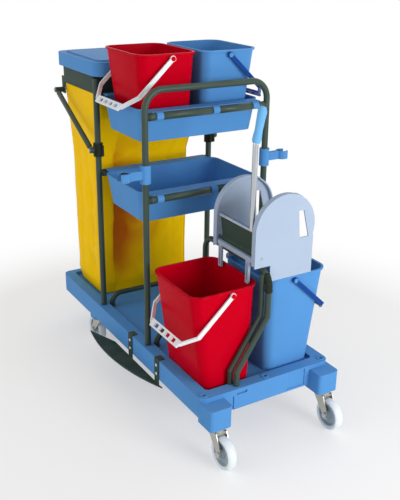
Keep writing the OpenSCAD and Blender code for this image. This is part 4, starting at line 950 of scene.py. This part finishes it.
class CART_OT_hardware(bpy.types.Operator):
    """Welds and sleeves on the tray bars, tubes on the braces, screws on the mop rest, a sleeve on the arch"""

    bl_idname = "cart.hardware"
    bl_label = "Small hardware"

    def execute(self, context):
        coat = bpy.data.materials["Olive paint"]
        self.welds(coat)
        self.brace_tubes(coat)
        self.bar_sleeves(coat)
        self.rest_screws(bpy.data.materials["Zinc bolt"])
        self.elbow_sleeve(bpy.data.materials["Dark collar"])
        return {"FINISHED"}

    def elbow_sleeve(self, material):
        """Dark sleeve round the front elbow of the wringer's arch, with a bead at each end."""
        _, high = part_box("wringer_arch")
        inset = ARCH_TUBE + ARCH_BEND
        centre = Vector((high.x - inset, ARCH_Y, high.z - inset))
        path = []
        for k in range(ELBOW_STEPS + 1):
            a = math.radians(ELBOW_FROM + ELBOW_SWEEP * k / ELBOW_STEPS)
            out = Vector((math.sin(a), 0, math.cos(a)))
            path.append((centre + out * ARCH_BEND, out))
        for k in range(1, ELBOW_TAIL + 1):
            path.append((centre + Vector((ARCH_BEND, 0, -ELBOW_TAIL_STEP * k)), Vector((1, 0, 0))))
        bm = bmesh.new()
        rings = []
        for k, (p, out) in enumerate(path):
            wall = ELBOW_WALLS[min(k, len(path) - 1 - k, len(ELBOW_WALLS) - 1)]
            rings.append(circle(bm, p, out, Vector((0, 1, 0)), ARCH_TUBE + wall, steps=28))
        skin(bm, rings)
        for ring in (rings[0], rings[-1]):
            bm.faces.new(ring)
        add_mesh("arch_elbow_sleeve", bm, material, "cart")

    def brace_tubes(self, material):
        """Round tube over the shaft of each brace, nearly as thick as the posts."""
        edge = BRACE_TUBE - BRACE_EDGE
        bm = bmesh.new()
        for name in ("left_brace", "right_brace"):
            low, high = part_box(name)
            y = (low.y + high.y) / 2
            foot = Vector((high.x - BRACE_EYE, y, low.z + BRACE_EYE))
            head = Vector((low.x + BRACE_EYE, y, high.z - BRACE_EYE))
            along = (head - foot).normalized()
            shaft = (head - foot).length - 2 * BRACE_CLEAR
            lathe(bm, foot + along * BRACE_CLEAR, along, (
                (BRACE_CORE, 0), (edge, 0), (BRACE_TUBE, BRACE_FALL), (BRACE_TUBE, shaft - BRACE_FALL),
                (edge, shaft), (BRACE_CORE, shaft)))
        add_mesh("brace_tubes", bm, material, "cart")

    def bar_sleeves(self, material):
        """Sleeves that fill the tray bars out between the hooks, left open under the trays' flanges."""
        bm = bmesh.new()
        for node, out in (("front_hoop", 1), ("rear_posts", -1)):
            low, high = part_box(node)
            reach = high.y - LEG_RADIUS - SLEEVE_BACK
            ends = [y + s * (HOOK_HALF + SLEEVE_GAP) for y in TRAY_HOOKS for s in (-1, 1)]
            ends = [-reach, *ends, reach]
            for z in TRAY_BARS:
                for y0, y1 in zip(ends[::2], ends[1::2]):
                    self.sleeve(bm, (low.x + high.x) / 2, z, out, y0, y1)
        add_mesh("tray_bar_sleeves", bm, material, "cart")

    def sleeve(self, bm, x, z, out, y0, y1):
        """Open sleeve along Y with chamfered ends, its gap at the top on the tray's side."""
        angles = [math.radians(SLEEVE_FROM - SLEEVE_SWEEP * k / SLEEVE_STEPS) for k in range(SLEEVE_STEPS + 1)]
        edge = SLEEVE_RADIUS - SLEEVE_CHAMFER
        rings = []
        for y, radius in ((y0, edge), (y0 + SLEEVE_CHAMFER, SLEEVE_RADIUS),
                          (y1 - SLEEVE_CHAMFER, SLEEVE_RADIUS), (y1, edge)):
            turns = [(radius, a) for a in angles] + [(SLEEVE_BORE, a) for a in reversed(angles)]
            rings.append([bm.verts.new((x + out * d * math.cos(a), y, z + d * math.sin(a))) for d, a in turns])
        for k in range(3):
            skin(bm, rings[k:k + 2], smooth=k == 1)
        for ring in (rings[0], rings[-1]):
            for k in range(SLEEVE_STEPS):
                bm.faces.new((ring[k], ring[k + 1], ring[-2 - k], ring[-1 - k]))

    def welds(self, material):
        """Weld beads where the tray bars meet the legs."""
        for name, node in (("hoop_welds", "front_hoop"), ("post_welds", "rear_posts")):
            low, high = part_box(node)
            y = high.y - LEG_RADIUS - WELD_BACK
            bm = bmesh.new()
            for z in TRAY_BARS:
                for s in (-1, 1):
                    self.bead(bm, Vector(((low.x + high.x) / 2, s * y, z)))
            add_mesh(name, bm, material, "cart")

    def bead(self, bm, centre):
        """Rippled ring of weld about the Y axis."""
        rings = []
        for k in range(WELD_STEPS):
            a = 2 * math.pi * k / WELD_STEPS
            radial = Vector((math.cos(a), 0, math.sin(a)))
            thick = WELD_THICK * (1 + WELD_RIPPLE * math.sin(k * 2.1))
            rings.append(circle(bm, centre + radial * WELD_RADIUS, radial, Vector((0, 1, 0)), thick, steps=8))
        skin(bm, rings, joined=True)

    def rest_screws(self, material):
        """Dome screws with a sunk middle in the mop rest's straps."""
        low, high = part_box("mop_rest")
        bm = bmesh.new()
        for x in ((low.x + high.x) / 2 + STRAP_AHEAD, high.x - STRAP_BACK):
            for z in SCREW_HEIGHTS:
                lathe(bm, Vector((x, STRAP_FACE, z)), Vector((0, -1, 0)), SCREW_PROFILE)
        add_mesh("mop_rest_screws", bm, material, "cart")


# Stage

FLOOR_REACH = 14.0

# Distances over which the floor turns to plain white, and the share that is white close by
WHITE_FROM, WHITE_TO, WHITE_NEAR = 0.5, 1.5, 0.45

# Name, setting of the power, place, target and size of each lamp
LAMPS = (
    ("Key lamp", "key", (3.5, 0.9, 1.25), (0, 0, 0.55), 1.5),
    ("Fill lamp", "fill", (-0.4, -3.6, 1.9), (-0.1, 0, 0.5), 2.6),
    ("Rim lamp", "rim", (-1.2, 3.0, 3.0), (0, 0, 0.6), 2.4),
)

CAMERA_PLACE = Vector((2.016, -1.192, 1.395))
CAMERA_TARGET = Vector((0.0096, 0.0327, 0.4476))
CAMERA_ROLL = math.radians(0.8)


def aim(place, target):
    """Turn of a lamp or camera that looks from a place at a target."""
    return (Vector(target) - Vector(place)).to_track_quat("-Z", "Y")


def seen_rays(tree):
    """One for camera, glossy and transmission rays, for the plain background."""
    path = tree.nodes.new("ShaderNodeLightPath")
    seen = math_node(tree, "MAXIMUM", path.outputs["Is Camera Ray"], path.outputs["Is Glossy Ray"])
    return math_node(tree, "MAXIMUM", seen, path.outputs["Is Transmission Ray"])


class CART_OT_stage(bpy.types.Operator):
    """Pale floor, soft lamps, plain sky and the camera"""

    bl_idname = "cart.stage"
    bl_label = "Stage"

    def execute(self, context):
        scene = context.scene
        stage = scene.cart_stage
        scene.view_settings.view_transform = "Standard"
        self.floor(scene, stage)
        self.sky(scene, stage)
        for name, power, place, target, size in LAMPS:
            self.lamp(scene, name, getattr(stage, power), place, target, size)
        self.camera(scene, stage)
        return {"FINISHED"}

    def floor(self, scene, stage):
        """Wide floor that reads white to the camera and keeps the shadow."""
        mesh = bpy.data.meshes.new("floor")
        corners = [(x * FLOOR_REACH, y * FLOOR_REACH, 0) for x, y in ((-1, -1), (1, -1), (1, 1), (-1, 1))]
        mesh.from_pydata(corners, [], [(0, 1, 2, 3)])
        obj = bpy.data.objects.new("floor", mesh)
        scene.collection.objects.link(obj)
        material, tree, shader = new_material("Floor")
        mottle = math_node(tree, "MULTIPLY", noise_node(tree, scale=3.0, detail=4.0), 0.03)
        tint = mix_colour(tree, mottle, stage.floor, shaded(stage.floor, 0.9))
        feed(tree, shader, Base_Color=tint, Roughness=0.6, Specular_IOR_Level=0.1)
        away = vector_node(tree, "LENGTH", tree.nodes.new("ShaderNodeTexCoord").outputs["Object"])
        far = ramp_node(tree, away.outputs["Value"], low=WHITE_FROM, high=WHITE_TO)
        white = math_node(tree, "MULTIPLY", math_node(tree, "MAXIMUM", far, WHITE_NEAR), seen_rays(tree))
        blend = tree.nodes.new("ShaderNodeMixShader")
        glow = tree.nodes.new("ShaderNodeEmission")
        for socket, value in zip(blend.inputs, (white, shader.outputs[0], glow.outputs[0])):
            plug(tree, socket, value)
        feed(tree, tree.nodes["Material Output"], Surface=blend.outputs[0])
        mesh.materials.append(material)

    def sky(self, scene, stage):
        """Plain sky that lights softly and shows white to the camera."""
        world = bpy.data.worlds.new("Sky")
        scene.world = world
        world.use_nodes = True
        tree = world.node_tree
        seen = math_node(tree, "MULTIPLY", seen_rays(tree), 1.0 - stage.sky)
        strength = math_node(tree, "ADD", seen, stage.sky)
        feed(tree, tree.nodes["Background"], Color=(1, 1, 1), Strength=strength)

    def lamp(self, scene, name, power, place, target, size):
        """Soft square lamp that looks at a point."""
        data = bpy.data.lights.new(name, "AREA")
        data.shape = "SQUARE"
        data.size = size
        data.energy = power
        lamp = bpy.data.objects.new(name, data)
        lamp.location = place
        lamp.rotation_euler = aim(place, target).to_euler()
        scene.collection.objects.link(lamp)

    def camera(self, scene, stage):
        """Camera at the photograph's viewing angle."""
        data = bpy.data.cameras.new("Camera")
        data.sensor_fit = "AUTO"
        data.sensor_width = 36
        data.lens = stage.lens
        data.dof.use_dof = False
        camera = bpy.data.objects.new("Camera", data)
        turn = aim(CAMERA_PLACE, CAMERA_TARGET).to_matrix() @ Matrix.Rotation(CAMERA_ROLL, 3, "Z")
        camera.matrix_world = Matrix.Translation(CAMERA_PLACE) @ turn.to_4x4()
        scene.collection.objects.link(camera)
        scene.camera = camera


# Panel and registration

class CART_PT_panel(bpy.types.Panel):
    """Lists the steps that dress the cart"""

    bl_idname = "CART_PT_panel"
    bl_label = "Janitor cart"
    bl_space_type = "VIEW_3D"
    bl_region_type = "UI"
    bl_category = "Cart"

    def draw(self, context):
        for step in STEPS:
            self.layout.operator(step.bl_idname)


STEPS = (CART_OT_mouldings, CART_OT_red_buckets, CART_OT_tube_frames, CART_OT_wringer, CART_OT_casters,
         CART_OT_waste_bag, CART_OT_hardware, CART_OT_stage)
CLASSES = (CartColours, BagSizes, StageSettings) + STEPS + (CART_PT_panel,)


def register():
    """Registers the classes and puts their settings on the scene."""
    for item in CLASSES:
        bpy.utils.register_class(item)
    bpy.types.Scene.cart_colours = PointerProperty(type=CartColours)
    bpy.types.Scene.cart_bag = PointerProperty(type=BagSizes)
    bpy.types.Scene.cart_stage = PointerProperty(type=StageSettings)


def unregister():
    """Takes the settings and classes away again."""
    for name in ("cart_colours", "cart_bag", "cart_stage"):
        delattr(bpy.types.Scene, name)
    for item in reversed(CLASSES):
        bpy.utils.unregister_class(item)


def main():
    """Dresses the cart step by step."""
    register()
    for step in STEPS:
        group, name = step.bl_idname.split(".")
        getattr(getattr(bpy.ops, group), name)()


if __name__ == "__main__":
    main()
